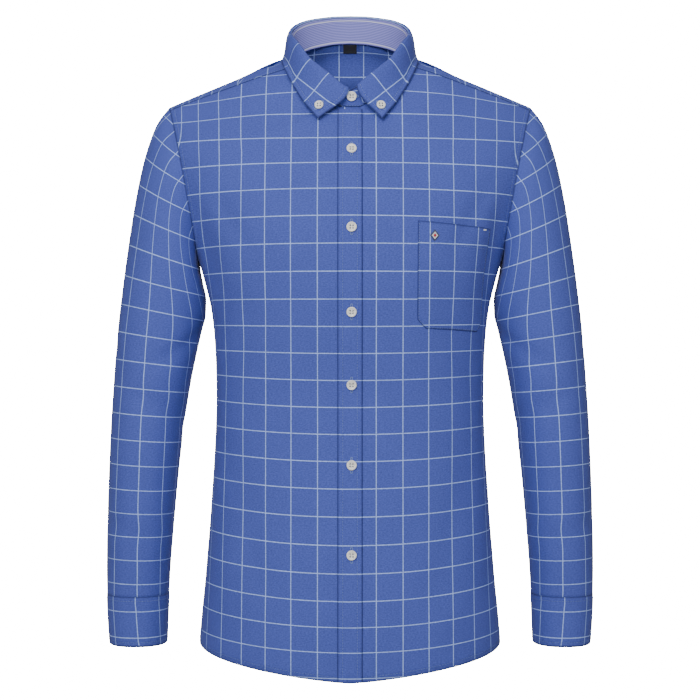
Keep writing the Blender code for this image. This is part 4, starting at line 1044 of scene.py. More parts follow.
def make_collar(settings):
    """The collar's stand, striped facing and leaf, and the label under the facing."""
    shirting = shirting_cloth(settings)
    grid, normals, uv = stand_grid()
    sewn = seams(grid, bottom=1.5, top=3.0, start=1.5, end=1.5)
    uv = uv + np.array(PHASES["stand"])
    cloth("collar_stand", from_grid(grid, uv, sewn, normals=normals), BAND, shirting)
    grid, normals, uv = band_grid(*FACING_ENDS, BAND + 0.3)
    inner = grid[:, ::-1] - normals[:, ::-1]
    cloth("collar_facing", from_grid(inner, uv[:, ::-1], seams(inner, bottom=2.2, top=3.0)),
          FACING_WALL, striped_cloth(settings))
    grid, normals, uv = leaf_grid()
    sewn = seams(grid, bottom=LEAF_LINE, start=LEAF_LINE, end=LEAF_LINE)
    uv = uv + np.array(PHASES["leaf"])
    cloth("collar_leaf", from_grid(grid, uv, sewn, normals=normals), LEAF_WALL, shirting)
    grid, normals, uv = label_grid()
    cloth("neck_label", from_grid(grid, uv, seams(grid, top=1.2, bottom=1.2)), LABEL_WALL,
          label_cloth(settings), turned=LABEL_TURNED)


def label_grid():
    """The label, flat in front of the yoke at the centre back."""
    shell = body_half(UPPER_LAP)[0]
    column = shell[BACK_NECK:BACK_LOW, 0][::-1]
    x, z = np.meshgrid(np.linspace(-LABEL_HALF, LABEL_HALF, 13),
                       np.linspace(LABEL_BOTTOM, LABEL_TOP, 9))
    y = np.interp(z, column[:, 2], column[:, 1]) - LABEL_IN
    grid = np.stack((x, y, z), axis=-1)
    return grid, normals_of(grid), np.stack((x, z), axis=-1)


# ------------------------------------------------------------------------------- sewn details


def strands(line, normals, width, length, gap, lift=0.12):
    """Stitches along a line: one flattened, round-ended thread for each step of its length.

    A stitch is a template of rings along the thread, scaled to its length and laid along the
    line's direction and normal.
    """
    run = runs(line[:, None])[:, 0]
    count = max(int(run[-1] / (length + gap)), 1)
    at = (np.arange(count) + 0.5) * run[-1] / count
    place, facing = (np.stack([np.interp(at, run, part[:, axis]) for axis in range(3)], axis=1)
                     for part in (line, normals))
    ends = [np.stack([np.interp(at + shift, run, line[:, axis]) for axis in range(3)], axis=1)
            for shift in (-length / 2, length / 2)]
    along = unit(ends[1] - ends[0])
    facing = unit(facing)
    across = np.cross(facing, along)
    ring = np.radians(np.arange(6) * 60.0)
    stations = np.array((-0.5, -0.36, 0.0, 0.36, 0.5))
    girth = np.array((0.25, 0.85, 1.0, 0.85, 0.25))
    raise_by = np.array((-0.5, 0.1, 0.6, 0.1, -0.5)) * width * 0.5
    template = np.stack((
        (stations * length)[:, None] + 0 * ring[None],
        girth[:, None] * np.cos(ring)[None] * width / 2,
        girth[:, None] * np.sin(ring)[None] * width / 2.4 + raise_by[:, None] + lift,
    ), axis=-1).reshape(-1, 3)
    points = (place[:, None] + template[None, :, :1] * along[:, None]
              + template[None, :, 1:2] * across[:, None] + template[None, :, 2:] * facing[:, None])
    row, side = np.meshgrid(np.arange(4), np.arange(6), indexing="ij")
    after = (side + 1) % 6
    quads = np.stack((row * 6 + side, row * 6 + after, (row + 1) * 6 + after, (row + 1) * 6 + side),
                     axis=-1).reshape(-1, 4)[:, ::-1]
    starts = np.arange(count)[:, None, None] * 30
    return points.reshape(-1, 3), (quads[None] + starts).reshape(-1, 4)


def joined(parts):
    """Points and faces of several parts as one shape."""
    starts = np.cumsum([0] + [len(points) for points, _ in parts[:-1]])
    return {"points": np.concatenate([points for points, _ in parts]),
            "quads": np.concatenate([quads + at for (_, quads), at in zip(parts, starts)])}


def touch(grid, normals, x, z, reach=4.0):
    """Where a line from the front meets a grid, and the normal there, from a fitted plane."""
    points, facing = grid.reshape(-1, 3), normals.reshape(-1, 3)
    points = points[facing[:, 1] < 0]
    apart = points[:, ::2] - np.array((x, z))
    weight = np.exp(-(apart**2).sum(axis=1) / reach**2)
    near = weight > 1e-4
    sides = np.column_stack((np.ones(near.sum()), apart[near])) * np.sqrt(weight[near])[:, None]
    level, right, up = np.linalg.lstsq(sides, points[near, 1] * np.sqrt(weight[near]),
                                       rcond=None)[0]
    return np.array((x, level, z)), unit(np.array((right, -1.0, up)))


def frame_on(normal, turn=0.0):
    """A surface's own directions at a normal: right and up, turned round it."""
    right = unit(np.cross(np.array((0.0, 0.0, 1.0)), normal))
    up = np.cross(normal, right)
    c, s = math.cos(math.radians(turn)), math.sin(math.radians(turn))
    return right * c + up * s, up * c - right * s


def buttonhole(place, normal, turn, length, width=1.5):
    """A worked buttonhole: a low ring of thread whose middle line is a long oval track."""
    along, across = frame_on(normal, turn)
    t = np.linspace(0, 2 * math.pi, 72, endpoint=False)
    straight = (length - 2 * width) / 2
    middle_a = np.cos(t) * width + np.clip(np.cos(t) * 3.0, -1, 1) * straight
    middle_b = np.sin(t) * width * 0.75
    ring = np.radians(np.arange(8) * 45.0)
    grown = (0.55 + 0.05 * np.cos(t * 36))[:, None]
    a = middle_a[:, None] + np.cos(t)[:, None] * np.cos(ring)[None] * grown
    b = middle_b[:, None] + np.sin(t)[:, None] * np.cos(ring)[None] * grown
    c = np.sin(ring)[None] * 0.38 + 0.16 + 0 * a
    points = place + a[..., None] * along + b[..., None] * across + c[..., None] * normal
    index = np.arange(72 * 8).reshape(72, 8)
    next_t = np.roll(index, -1, axis=0)
    quads = np.stack((index, next_t, np.roll(next_t, -1, axis=1), np.roll(index, -1, axis=1)),
                     axis=-1).reshape(-1, 4)
    return points.reshape(-1, 3), quads[:, ::-1]


def line_of(grid, normals, distance, edge, trim=0.0):
    """The line of stitches at a distance from one edge of a grid, cut short at its ends."""
    axis, end = {"bottom": (0, False), "top": (0, True),
                 "start": (1, False), "end": (1, True)}[edge]
    line, facing = inset(grid, normals, distance, axis, end)
    if trim:
        run = runs(line[:, None])[:, 0]
        keep = (run > trim) & (run < run[-1] - trim)
        line, facing = line[keep], facing[keep]
    return line, facing


def seam_lines():
    """Every line of stitches, as piece, edge, distance and length cut off at the ends."""
    panels = body_panels()
    for side, seam in (("left", "end"), ("right", "start")):
        front, back, yoke = (panels[f"{name}_{side}"][:2] for name in ("front", "back", "yoke"))
        low = slice(0, LOW + 1)
        yield line_of(*front, HEM, "bottom", 2.0)
        yield line_of(*back, HEM, "top", 2.0)
        yield line_of(*yoke, YOKE_LINE, "bottom", 1.0)
        yield line_of(*yoke, YOKE_LINE, "top", 0.0)
        yield line_of(front[0][low], front[1][low], 3.0, seam, 6.0)
        slim = slice(LOW, None)
        yield line_of(front[0][slim], front[1][slim], ARMHOLE_LINE, seam, 4.0)
        back_rows = slice(0, BACK_LOW - BACK_SEAM)
        yield line_of(back[0][back_rows], back[1][back_rows], ARMHOLE_LINE, seam, 4.0)
        yield line_of(*yoke, ARMHOLE_LINE, seam, 1.0)
    grid, normals, _ = placket_grid()
    for edge in ("start", "end"):
        yield line_of(grid, normals, PLACKET_LINE, edge, 4.0)
    grid, normals, _ = pocket_grid()
    for edge in ("start", "end", "bottom"):
        yield line_of(grid, normals, 1.5, edge, 1.5)
    yield line_of(grid, normals, 24.0, "top", 1.0)
    grid, normals, _ = stand_grid()
    yield line_of(grid, normals, 1.5, "bottom", 3.0)
    yield line_of(grid, normals, 1.8, "start", 1.5)
    grid, normals, _ = leaf_grid()
    yield line_of(grid, normals, LEAF_LINE, "bottom", LEAF_LINE)
    for edge in ("start", "end"):
        line, facing = line_of(grid, normals, LEAF_LINE, edge)
        yield line[3:30], facing[3:30]
    for side in (1.0, -1.0):
        flip = np.array((side, 1.0, 1.0))
        for pieces, edges in ((cuff_grid(), ("top", "bottom")), (slit_grid(), ("start", "end"))):
            grid, normals = pieces[0] * flip, pieces[1] * flip
            for edge in edges:
                width = CUFF_LINE if edge in ("top", "bottom") else 1.5
                yield line_of(grid, normals, width, edge, 2.0)


def make_sewing(settings):
    """Stitches, worked buttonholes, the pocket's bar and the small woven emblem."""
    parts = [strands(line, facing, settings.thread * 1000, settings.stitch * 1000, STITCH_GAP)
             for line, facing in seam_lines()]
    put("stitches", joined(parts), thread_yarn(settings))
    placket, placket_normals, _ = placket_grid()
    holes = []
    for height in FRONT_BUTTONS:
        place, normal = touch(placket, placket_normals, BUTTON_X, height)
        holes.append(buttonhole(place, normal, 90.0, 18.0))
    stand, stand_normals, _ = stand_grid()
    place, normal = touch(stand[:, :20], stand_normals[:, :20], BUTTON_X, STAND_BUTTON)
    holes.append(buttonhole(place, normal, 0.0, 16.0))
    leaf, leaf_normals, _ = leaf_grid()
    for side in (-1.0, 1.0):
        place, normal = touch(leaf, leaf_normals, side * COLLAR_BUTTON[0], COLLAR_BUTTON[1])
        holes.append(buttonhole(place, normal, -side * 50.0, 14.0))
        place, normal = cuff_button_place(side)
        holes.append(buttonhole(place, normal, 0.0, 16.0))
    put("buttonholes", joined(holes), thread_yarn(settings))
    make_emblem(settings)


def cuff_button_place(side):
    """Where a cuff's button sits, and the normal there."""
    place, normal = wrist_point(np.array(CUFF_START + CUFF_BUTTON_IN), np.array(CUFF_BUTTON),
                                CUFF_PROUD + CUFF_LAP)
    flip = np.array((side, 1.0, 1.0))
    return place * flip, normal * flip


def make_emblem(settings):
    """A small emblem of nested lozenges in satin stitch, and the bar at the pocket's corner."""
    pocket, pocket_normals, _ = pocket_grid()
    place, normal = touch(pocket, pocket_normals, *EMBLEM["place"])
    for name, share, lift, colour in (("outer", 1.0, 0.25, "navy"), ("middle", 0.7, 0.42, "white"),
                                      ("inner", 0.4, 0.6, "red")):
        right, up = frame_on(normal)
        u, v = np.meshgrid(np.linspace(-1, 1, 25), np.linspace(-1, 1, 25))
        a = (u + v) / 2 * EMBLEM["width"] / 2 * share
        b = (v - u) / 2 * EMBLEM["height"] / 2 * share
        edge = 1 - np.maximum(np.abs(u), np.abs(v))
        c = lift * smooth(edge * 6) + 0.05
        grid = place + a[..., None] * right + b[..., None] * up + c[..., None] * normal
        uv = np.stack((a, b), axis=-1)
        piece = put(f"emblem_{name}", wall(from_grid(grid, uv), 0.3),
                    satin_thread(settings, colour))
    corner, facing = touch(pocket, pocket_normals, *EMBLEM["bar"])
    right, up = frame_on(facing)
    steps = np.linspace(-2.4, 2.4, 16)[:, None]
    parts = [strands(corner + right * (share - 1.2) + up * np.array((-1.0, 1.0))[:, None],
                     np.array((facing, facing)), 0.5, 2.0, 0.1, 0.2) for share in steps[:, 0]]
    put("pocket_bar", joined(parts), thread_yarn(settings, "white"))


# ----------------------------------------------------------------------------------- buttons


def button_shape(place, normal, diameter, off):
    """A turned button: a rounded rim, a shallow dish and four holes, as heights over a disc.

    The top's height is the rim's and the dish's profile by radius, less four deep wells.
    """
    ring = np.linspace(0.0, 1.0, 34)
    turn = np.linspace(0.0, 2 * math.pi, 96, endpoint=False)
    radius = diameter / 2
    r, t = np.meshgrid(np.sin(ring * math.pi / 2) * radius, turn, indexing="ij")
    inside = radius - r
    height = np.interp(inside, (0.0, 0.08, 0.25, 0.6, 1.0, 1.5, 2.1, 2.8, radius),
                       (1.25, 1.75, 2.1, 2.36, 2.4, 2.25, 1.85, 1.55, 1.45))
    a, b = r * np.cos(t), r * np.sin(t)
    hole = np.min([np.hypot(a - sx * BUTTON_HOLE_AT, b - sy * BUTTON_HOLE_AT)
                   for sx in (-1, 1) for sy in (-1, 1)], axis=0)
    height = height - 1.1 * (1 - smooth((hole - BUTTON_HOLE * 0.55) / (BUTTON_HOLE * 0.6)))
    side_r = np.array((0.0, -0.12, -0.7))[:, None] + radius + 0 * t[:3]
    side_h = np.array((0.7, 0.35, 0.0))[:, None] + 0 * t[:3]
    back_r = np.array((radius * 0.5, 0.01))[:, None] + 0 * t[:2]
    r_all = np.concatenate((r, side_r, back_r))
    h_all = np.concatenate((height, side_h, 0 * back_r))
    t_all = np.broadcast_to(turn, r_all.shape)
    right, up = frame_on(normal)
    a, b = r_all * np.cos(t_all), r_all * np.sin(t_all)
    grid = place + a[..., None] * right + b[..., None] * up + (h_all + off)[..., None] * normal
    grid = grid[::-1]
    closed = np.stack((a, b), axis=-1)[::-1]
    uv = np.concatenate((closed, closed[:, :1]), axis=1)
    return from_grid(grid, uv, closed=True)


def button_thread(place, normal, off):
    """The thread through a button's holes: two short bars of three strands each."""
    right, up = frame_on(normal)
    parts = []
    for side in (-1, 1):
        for strand in (-0.35, 0.0, 0.35):
            middle = place + up * (side * BUTTON_HOLE_AT + strand) + normal * (off + 1.35)
            line = middle + right * np.linspace(-1, 1, 5)[:, None] * (BUTTON_HOLE_AT + 0.2)
            parts.append(strands(line, np.tile(normal, (5, 1)), 0.42, 2 * BUTTON_HOLE_AT, 0.3, 0.1))
    return joined(parts)


def make_buttons(settings):
    """Every button with its thread: stand, front, collar points and cuffs."""
    placket, placket_normals, _ = placket_grid()
    stand, stand_normals, _ = stand_grid()
    leaf, leaf_normals, _ = leaf_grid()
    size, small = settings.diameter * 1000, settings.small * 1000
    spots = [(f"button_front_{number + 1}", *touch(placket, placket_normals, BUTTON_X, height),
              size, 0.35) for number, height in enumerate(FRONT_BUTTONS)]
    spots.append(("button_stand", *touch(stand[:, :20], stand_normals[:, :20], BUTTON_X,
                                         STAND_BUTTON), size, 0.35))
    for name, side in (("right", -1.0), ("left", 1.0)):
        spots.append((f"button_collar_{name}", *touch(leaf, leaf_normals, side * COLLAR_BUTTON[0],
                                                      COLLAR_BUTTON[1]), small, 0.5))
        spots.append((f"button_cuff_{name}", *cuff_button_place(side), size, 0.4))
    for name, place, normal, diameter, off in spots:
        piece = put(f"turned_{name}", button_shape(place, normal, diameter, off),
                    button_resin(settings), sharp=50.0)
        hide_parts(name)
        put(f"thread_{name}", button_thread(place, normal, off), thread_yarn(settings, "white"))


# --------------------------------------------------------------------------------- materials


class Value:
    """A socket of a node tree with arithmetic, so that a shader reads like a formula."""

    def __init__(self, tree, socket):
        self.tree, self.socket = tree, socket

    def math(self, kind, *others, clamp=False):
        node = self.tree.nodes.new("ShaderNodeMath")
        node.operation, node.use_clamp = kind, clamp
        for place, value in zip(node.inputs, (self, *others)):
            if isinstance(value, Value):
                self.tree.links.new(value.socket, place)
            else:
                place.default_value = value
        return Value(self.tree, node.outputs[0])

    def swapped(self, kind, other):
        node = self.tree.nodes.new("ShaderNodeMath")
        node.operation = kind
        node.inputs[0].default_value = other
        self.tree.links.new(self.socket, node.inputs[1])
        return Value(self.tree, node.outputs[0])

    def __add__(self, other):
        return self.math("ADD", other)

    __radd__ = __add__

    def __sub__(self, other):
        return self.math("SUBTRACT", other)

    def __rsub__(self, other):
        return self.swapped("SUBTRACT", other)

    def __mul__(self, other):
        return self.math("MULTIPLY", other)

    __rmul__ = __mul__

    def __truediv__(self, other):
        return self.math("DIVIDE", other)

    def __rtruediv__(self, other):
        return self.swapped("DIVIDE", other)

    def __pow__(self, other):
        return self.math("POWER", other)

    def __mod__(self, other):
        return self.math("FLOORED_MODULO", other)

    def __neg__(self):
        return self * -1.0

    def step(self, low, high):
        """None below low and one above high, with a soft slope between them."""
        t = ((self - low) / (high - low)).math("MINIMUM", 1.0).math("MAXIMUM", 0.0)
        return t * t * (3.0 - 2.0 * t)


class Shader:
    """A material's node tree and the few ways in which it grows."""

    def __init__(self, name):
        self.material = bpy.data.materials.new(name)
        self.material.use_nodes = True
        self.tree = self.material.node_tree
        self.base = self.tree.nodes["Principled BSDF"]

    def node(self, kind, settings=(), inputs=(), output=0):
        """Any node by type, with its settings and inputs."""
        node = self.tree.nodes.new(kind)
        for key, value in dict(settings).items():
            setattr(node, key, value)
        for key, value in dict(inputs).items():
            if isinstance(value, Value):
                self.tree.links.new(value.socket, node.inputs[key])
            else:
                node.inputs[key].default_value = value
        return Value(self.tree, node.outputs[output])

    def map(self, name):
        """The two coordinates of a UV map."""
        source = self.node("ShaderNodeUVMap", {"uv_map": name})
        split = self.tree.nodes.new("ShaderNodeSeparateXYZ")
        self.tree.links.new(source.socket, split.inputs[0])
        return Value(self.tree, split.outputs[0]), Value(self.tree, split.outputs[1])

    def cloth_map(self):
        """The cloth's coordinates in millimetres."""
        return tuple(part * 1000.0 for part in self.map("cloth"))

    def place(self):
        """Object coordinates."""
        return self.node("ShaderNodeTexCoord", output=3)

    def vector(self, x, y, z=0.0):
        return self.node("ShaderNodeCombineXYZ", inputs={0: x, 1: y, 2: z})

    def noise(self, at, scale, detail=3.0, rough=0.55):
        return self.node("ShaderNodeTexNoise", inputs={
            "Vector": at, "Scale": scale, "Detail": detail, "Roughness": rough})

    def mix(self, share, first, second):
        """A colour between two colours."""
        node = self.tree.nodes.new("ShaderNodeMix")
        node.data_type, node.clamp_factor = "RGBA", True
        for place, value in ((0, share), (6, first), (7, second)):
            if isinstance(value, Value):
                self.tree.links.new(value.socket, node.inputs[place])
            else:
                node.inputs[place].default_value = (
                    (*value, 1.0) if isinstance(value, (tuple, list)) else value)
        return Value(self.tree, node.outputs[2])

    def shaded(self, colour, shade):
        """A colour times one factor."""
        grey = self.node("ShaderNodeCombineColor", inputs={0: shade, 1: shade, 2: shade})
        return self.node("ShaderNodeMix", {"data_type": "RGBA", "blend_type": "MULTIPLY"},
                         {0: 1.0, 6: colour, 7: grey}, output=2)

    def bump(self, height, strength=1.0, distance=MM):
        """A normal from a height in millimetres."""
        return self.node("ShaderNodeBump", inputs={
            "Height": height, "Strength": strength, "Distance": distance})

    def link(self, **sockets):
        for name, value in sockets.items():
            place = self.base.inputs[name.replace("_", " ")]
            if isinstance(value, Value):
                self.tree.links.new(value.socket, place)
            else:
                place.default_value = value

    def fixed(self, values):
        for name, value in values.items():
            self.base.inputs[name].default_value = value


def kept(maker):
    """A material that is made once and then shared."""
    made = {}

    def get(settings, *extra):
        if extra not in made:
            made[extra] = maker(settings, *extra)
        return made[extra]
    get.__doc__ = maker.__doc__
    return get


def weave(shader, u, v, cell):
    """A basket weave: the share of yarn across, the height of the yarns, and their slubs.

    A cell shows the yarn that lies on top; along u and v in turn. Each yarn is a half sine high
    and wanders a little, as spun yarn does.
    """
    drift = shader.noise(shader.vector(u * 0.55, v * 0.55), 1.0, 2.0) * 3.0
    u, v = u + drift, v - drift
    i, j = (u / cell).math("FLOOR"), (v / cell).math("FLOOR")
    over = (i + j) % 2.0
    rise_u = ((u / cell) * math.pi).math("SINE").math("ABSOLUTE")
    rise_v = ((v / cell) * math.pi).math("SINE").math("ABSOLUTE")
    height = over * rise_u + (1.0 - over) * rise_v
    slub_u = shader.noise(shader.vector(u * 2.6, v * 0.16), 1.0, 2.0)
    slub_v = shader.noise(shader.vector(u * 0.16, v * 2.6, 7.0), 1.0, 2.0)
    return over, height, over * slub_u + (1.0 - over) * slub_v


def line_share(across, pitch, width):
    """One on the lines that repeat at a pitch, none between them."""
    away = ((across / pitch + 0.5) % 1.0 - 0.5).math("ABSOLUTE") * pitch
    return 1.0 - away.step(width * 0.32, width * 0.68)


@kept
def shirting_cloth(settings):
    """Oxford cloth with a windowpane check: two blues of yarn, pale lines and sewn seams."""
    shader = Shader("checked_oxford")
    u, v = shader.cloth_map()
    seam, border = shader.map("sewn")
    over, _, slub = weave(shader, u, v, settings.yarn * 1000)
    base = shader.mix(over * 0.4 + 0.3, tuple(settings.warp), tuple(settings.weft))
    heather = shader.noise(shader.vector(u * 0.45, v * 0.7), 1.0, 3.0)
    tone = shader.noise(shader.vector(u * 0.02, v * 0.02), 1.0, 3.0) * 0.14 + slub * 0.16
    tone = tone + heather * 1.15 + 0.275
    lines = [line_share(part, settings.pane * 1000, settings.line * 1000) for part in (u, v)]
    broken = 0.86 + over * 0.1
    upright = lines[0] * broken
    level = lines[1] * (1.0 - over * 0.1)
    both = lines[0] * lines[1]
    pale = (upright.math("MAXIMUM", level) + both * 0.35).math("MINIMUM", 1.0)
    cloth_colour = shader.mix(pale, base, tuple(settings.lines))
    # Painted shade: a little darker in the groove of each line of stitches, and much darker in a
    # narrow band along the piece's edges.
    painted_groove_edge_shade = 1.0 - (seam.math("ABSOLUTE") * -1.6).math("EXPONENT") * 0.06
    painted_groove_edge_shade = painted_groove_edge_shade - (border * border * -0.6).math("EXPONENT") * 0.55
    shade = tone * painted_groove_edge_shade
    colour = shader.shaded(cloth_colour, shade)
    pucker = shader.noise(shader.vector((u + v) * 0.09, seam * 0.05), 1.0, 2.0) - 0.5
    groove = (seam * seam * -1.2).math("EXPONENT") * -0.08
    drawn = pucker * (seam.math("ABSOLUTE") * -0.22).math("EXPONENT") * 0.35
    crumple = shader.noise(shader.vector(u * 0.03, v * 0.02), 1.0, 2.0, 0.5) * 0.8
    relief = groove + drawn + crumple
    shader.link(Base_Color=colour, Normal=shader.bump(relief, 0.9),
                Roughness=0.80 + slub * 0.12)
    shader.fixed({"Metallic": 0.0, "Sheen Weight": 0.06, "Sheen Roughness": 0.45,
                  "Specular IOR Level": 0.22})
    return shader.material


@kept
def striped_cloth(settings):
    """Fine stripes round the inside of the collar, dark on lavender, with white stitching."""
    shader = Shader("striped_facing")
    u, v = shader.cloth_map()
    seam, _ = shader.map("sewn")
    _, height, slub = weave(shader, u, v, 0.3)
    stripe = line_share(v, settings.stripe * 1000, settings.stripe * 1000 * 0.40)
    base = shader.mix(stripe, FACING_GROUND, tuple(settings.facing))
    # Painted shade: the weave's height makes the yarn tops a little lighter than the hollows; the
    # slubs are the yarn's own uneven tone.
    shade = slub * 0.2 + 0.88 + height * 0.05
    colour = shader.shaded(base, shade)
    white = 1.0 - seam.math("ABSOLUTE").step(0.3, 0.8)
    colour = shader.mix(white * 0.7, colour, (0.9, 0.9, 0.94))
    groove = (seam * seam * -1.2).math("EXPONENT") * -0.18
    shader.link(Base_Color=colour, Normal=shader.bump(height * 0.03 + slub * 0.02 + groove, 0.8),
                Roughness=0.72 + slub * 0.1)
    shader.fixed({"Metallic": 0.0, "Sheen Weight": 0.1, "Specular IOR Level": 0.25})
    return shader.material


@kept
def label_cloth(settings):
    """The plain woven label, black with a fine rib."""
    shader = Shader("woven_label")
    u, v = shader.cloth_map()
    rib = (v * 9.0).math("SINE")
    slub = shader.noise(shader.vector(u * 6.0, v * 1.2), 1.0)
    # Painted shade: the rib's ridges are lighter and its grooves darker; the slubs are the yarn's
    # own uneven tone.
    colour = shader.mix(slub * 0.6 + rib * 0.15, (0.008, 0.009, 0.014), (0.045, 0.048, 0.065))
    shader.link(Base_Color=colour, Roughness=0.55 + slub * 0.2,
                Normal=shader.bump(rib * 0.03 + slub * 0.04, 0.7))
    shader.fixed({"Metallic": 0.0, "Sheen Weight": 0.2})
    return shader.material


@kept
def thread_yarn(settings, tint="blue"):
    """Twisted sewing thread."""
    shader = Shader(f"thread_{tint}")
    place = shader.place()
    fine = shader.noise(place, 2600.0, 2.0)
    soft = shader.noise(place, 240.0, 2.0)
    first, second = WHITE_THREAD
    if tint == "blue":
        first, second = tuple(settings.yarn_dark), tuple(settings.yarn_light)
    colour = shader.mix(fine * 0.7 + soft * 0.3, first, second)
    shader.link(Base_Color=colour, Roughness=0.5 + fine * 0.25,
                Normal=shader.bump(fine * 0.12, 0.8))
    shader.fixed({"Metallic": 0.0, "Sheen Weight": 0.15})
    return shader.material


# A darker and a lighter tone of each colour: the satin paints shade between its threads with them,
# and mixes them by its own uneven tone.
SATIN = {"navy": ((0.012, 0.020, 0.075), (0.030, 0.045, 0.14)),
         "white": ((0.62, 0.62, 0.66), (0.85, 0.85, 0.88)),
         "red": ((0.36, 0.010, 0.022), (0.60, 0.028, 0.045))}


@kept
def satin_thread(settings, tint):
    """Satin stitch: fine threads side by side across a shape."""
    shader = Shader(f"satin_{tint}")
    u, v = shader.cloth_map()
    thread = (v * 14.0).math("SINE").math("ABSOLUTE")
    drift = shader.noise(shader.vector(u * 0.8, v * 5.0), 1.0)
    first, second = SATIN[tint]
    # Painted shade: each thread is darker at its sides, where it meets the next, and lighter along
    # its middle; the drift is the thread's own uneven tone.
    colour = shader.mix(thread * 0.5 + drift * 0.5, first, second)
    shader.link(Base_Color=colour, Roughness=0.38 + drift * 0.2,
                Normal=shader.bump(thread * 0.08, 0.9))
    shader.fixed({"Metallic": 0.0, "Sheen Weight": 0.3})
    return shader.material


@kept
def button_resin(settings):
    """Ivory button resin with faint clouds, dull in the wells."""
    shader = Shader("ivory_button")
    u, v = shader.cloth_map()
    radius = (u * u + v * v).math("SQRT")
    cloud = shader.noise(shader.vector(u * 0.35, v * 0.35), 1.0, 4.0)
    streak = shader.noise(shader.vector(u * 0.25, v * 2.2, 3.0), 1.0, 3.0)
    colour = shader.mix(cloud * 0.7 + streak * 0.3, tuple(settings.ivory_dark),
                        tuple(settings.ivory))
    hole = None
    for sx in (-1.0, 1.0):
        for sy in (-1.0, 1.0):
            away = ((u - sx * BUTTON_HOLE_AT) ** 2.0
                    + (v - sy * BUTTON_HOLE_AT) ** 2.0).math("SQRT")
            hole = away if hole is None else hole.math("MINIMUM", away)
    painted_shade_well = 1.0 - hole.step(BUTTON_HOLE, BUTTON_HOLE * 1.3)
    ring = (radius - BUTTON_RING).math("ABSOLUTE").step(0.0, 0.35) * 0.12 + 0.88
    # Painted shade: the wells of the holes are coloured near black, standing in for the shade
    # inside a hole.
    colour = shader.mix(painted_shade_well, colour, (0.03, 0.035, 0.06))
    colour = shader.shaded(colour, ring)
    scratch = shader.noise(shader.vector(u * 1.5, v * 1.5), 1.0, 4.0)
    shader.link(Base_Color=colour, Roughness=0.26 + scratch * 0.16 + painted_shade_well * 0.4,
                Normal=shader.bump(scratch * 0.02 + streak * 0.015, 0.6))
    shader.fixed({"Metallic": 0.0, "Coat Weight": 0.25, "Coat Roughness": 0.2,
                  "Subsurface Weight": 0.0})
    return shader.material


@kept
def studio_paper(settings):
    """The pale floor and the sweep behind."""
    shader = Shader("studio_paper")
    grain_of_paper = shader.noise(shader.place(), 30.0, 4.0)
    light = tuple(settings.floor)
    shade = tuple(part * 0.97 for part in light)
    shader.link(Base_Color=shader.mix(grain_of_paper, shade, light),
                Roughness=0.92 + grain_of_paper * 0.05,
                Normal=shader.bump(grain_of_paper * 0.1, 0.3))
    shader.fixed({"Specular IOR Level": 0.1})
    seen = shader.node("ShaderNodeLightPath", output=0)
    glow = shader.node("ShaderNodeEmission", inputs={"Strength": settings.glow})
    paper = Value(shader.tree, shader.base.outputs[0])
    mixed = shader.node("ShaderNodeMixShader", inputs={0: seen * GLOW_SHARE, 1: paper, 2: glow})
    behind = shader.node("ShaderNodeNewGeometry", output=6)
    clear = shader.node("ShaderNodeBsdfTransparent")
    mixed = shader.node("ShaderNodeMixShader", inputs={0: seen * behind, 1: mixed, 2: clear})
    out = shader.tree.nodes["Material Output"]
    shader.tree.links.new(mixed.socket, out.inputs["Surface"])
    return shader.material


# ------------------------------------------------------------------------------------ studio


def make_studio(settings):
    """A floor that curves up behind, soft lights from the front and the camera."""
    t = np.linspace(0.0, 1.0, 60)[:, None]
    turn = np.clip((t - 0.4) / 0.3, 0.0, 1.0) * math.pi / 2
    run = np.interp(t, (0.0, 0.4), (SWEEP["front"], SWEEP["bend"]))
    above = np.clip((t - 0.7) / 0.3, 0.0, 1.0) * SWEEP["wall"]
    y = np.where(t < 0.4, run, SWEEP["bend"] + SWEEP["radius"] * np.sin(turn))
    z = np.where(t < 0.4, 0.0, SWEEP["radius"] * (1 - np.cos(turn))) + above
    x = np.linspace(-SWEEP["half"], SWEEP["half"], 40)[None]
    grid = np.stack((x + 0 * y, y + 0 * x, z + FLOOR_Z * 1000 + 0 * x), axis=-1)
    sweep = from_grid(grid, grid[..., :2])
    mesh = bpy.data.meshes.new("sweep")
    mesh.from_pydata((sweep["points"] * MM).tolist(), [], sweep["quads"].tolist())
    mesh.shade_smooth()
    mesh.materials.append(studio_paper(settings))
    floor = bpy.data.objects.new("sweep", mesh)
    bpy.context.scene.collection.objects.link(floor)
    for name, at, size, power, aim in LIGHTS:
        lamp = bpy.data.lights.new(name, "AREA")
        lamp.shape, lamp.size, lamp.size_y = "RECTANGLE", *size
        lamp.energy = power * settings.light
        thing = bpy.data.objects.new(name, lamp)
        thing.location = at
        thing.rotation_euler = (Vector(aim) - Vector(at)).to_track_quat("-Z", "Y").to_euler()
        thing.visible_camera = False
        bpy.context.scene.collection.objects.link(thing)
    world = bpy.data.worlds.new("studio")
    world.use_nodes = True
    sky = world.node_tree.nodes["Background"]
    sky.inputs["Color"].default_value = (1.0, 1.0, 1.0, 1.0)
    sky.inputs["Strength"].default_value = settings.fill
    seen = world.node_tree.nodes.new("ShaderNodeLightPath")
    bright = world.node_tree.nodes.new("ShaderNodeMath")
    bright.operation = "MULTIPLY_ADD"
    bright.inputs[1].default_value, bright.inputs[2].default_value = settings.glow, settings.fill
    world.node_tree.links.new(seen.outputs["Is Camera Ray"], bright.inputs[0])
    world.node_tree.links.new(bright.outputs[0], sky.inputs["Strength"])
    bpy.context.scene.world = world
    lens = bpy.data.cameras.new("camera")
    lens.lens, lens.sensor_width = CAMERA["lens"], CAMERA["sensor"]
    camera = bpy.data.objects.new("camera", lens)
    camera.location = CAMERA["at"]
    camera.rotation_euler = (math.radians(90.0), 0.0, 0.0)
    bpy.context.scene.collection.objects.link(camera)
    bpy.context.scene.camera = camera


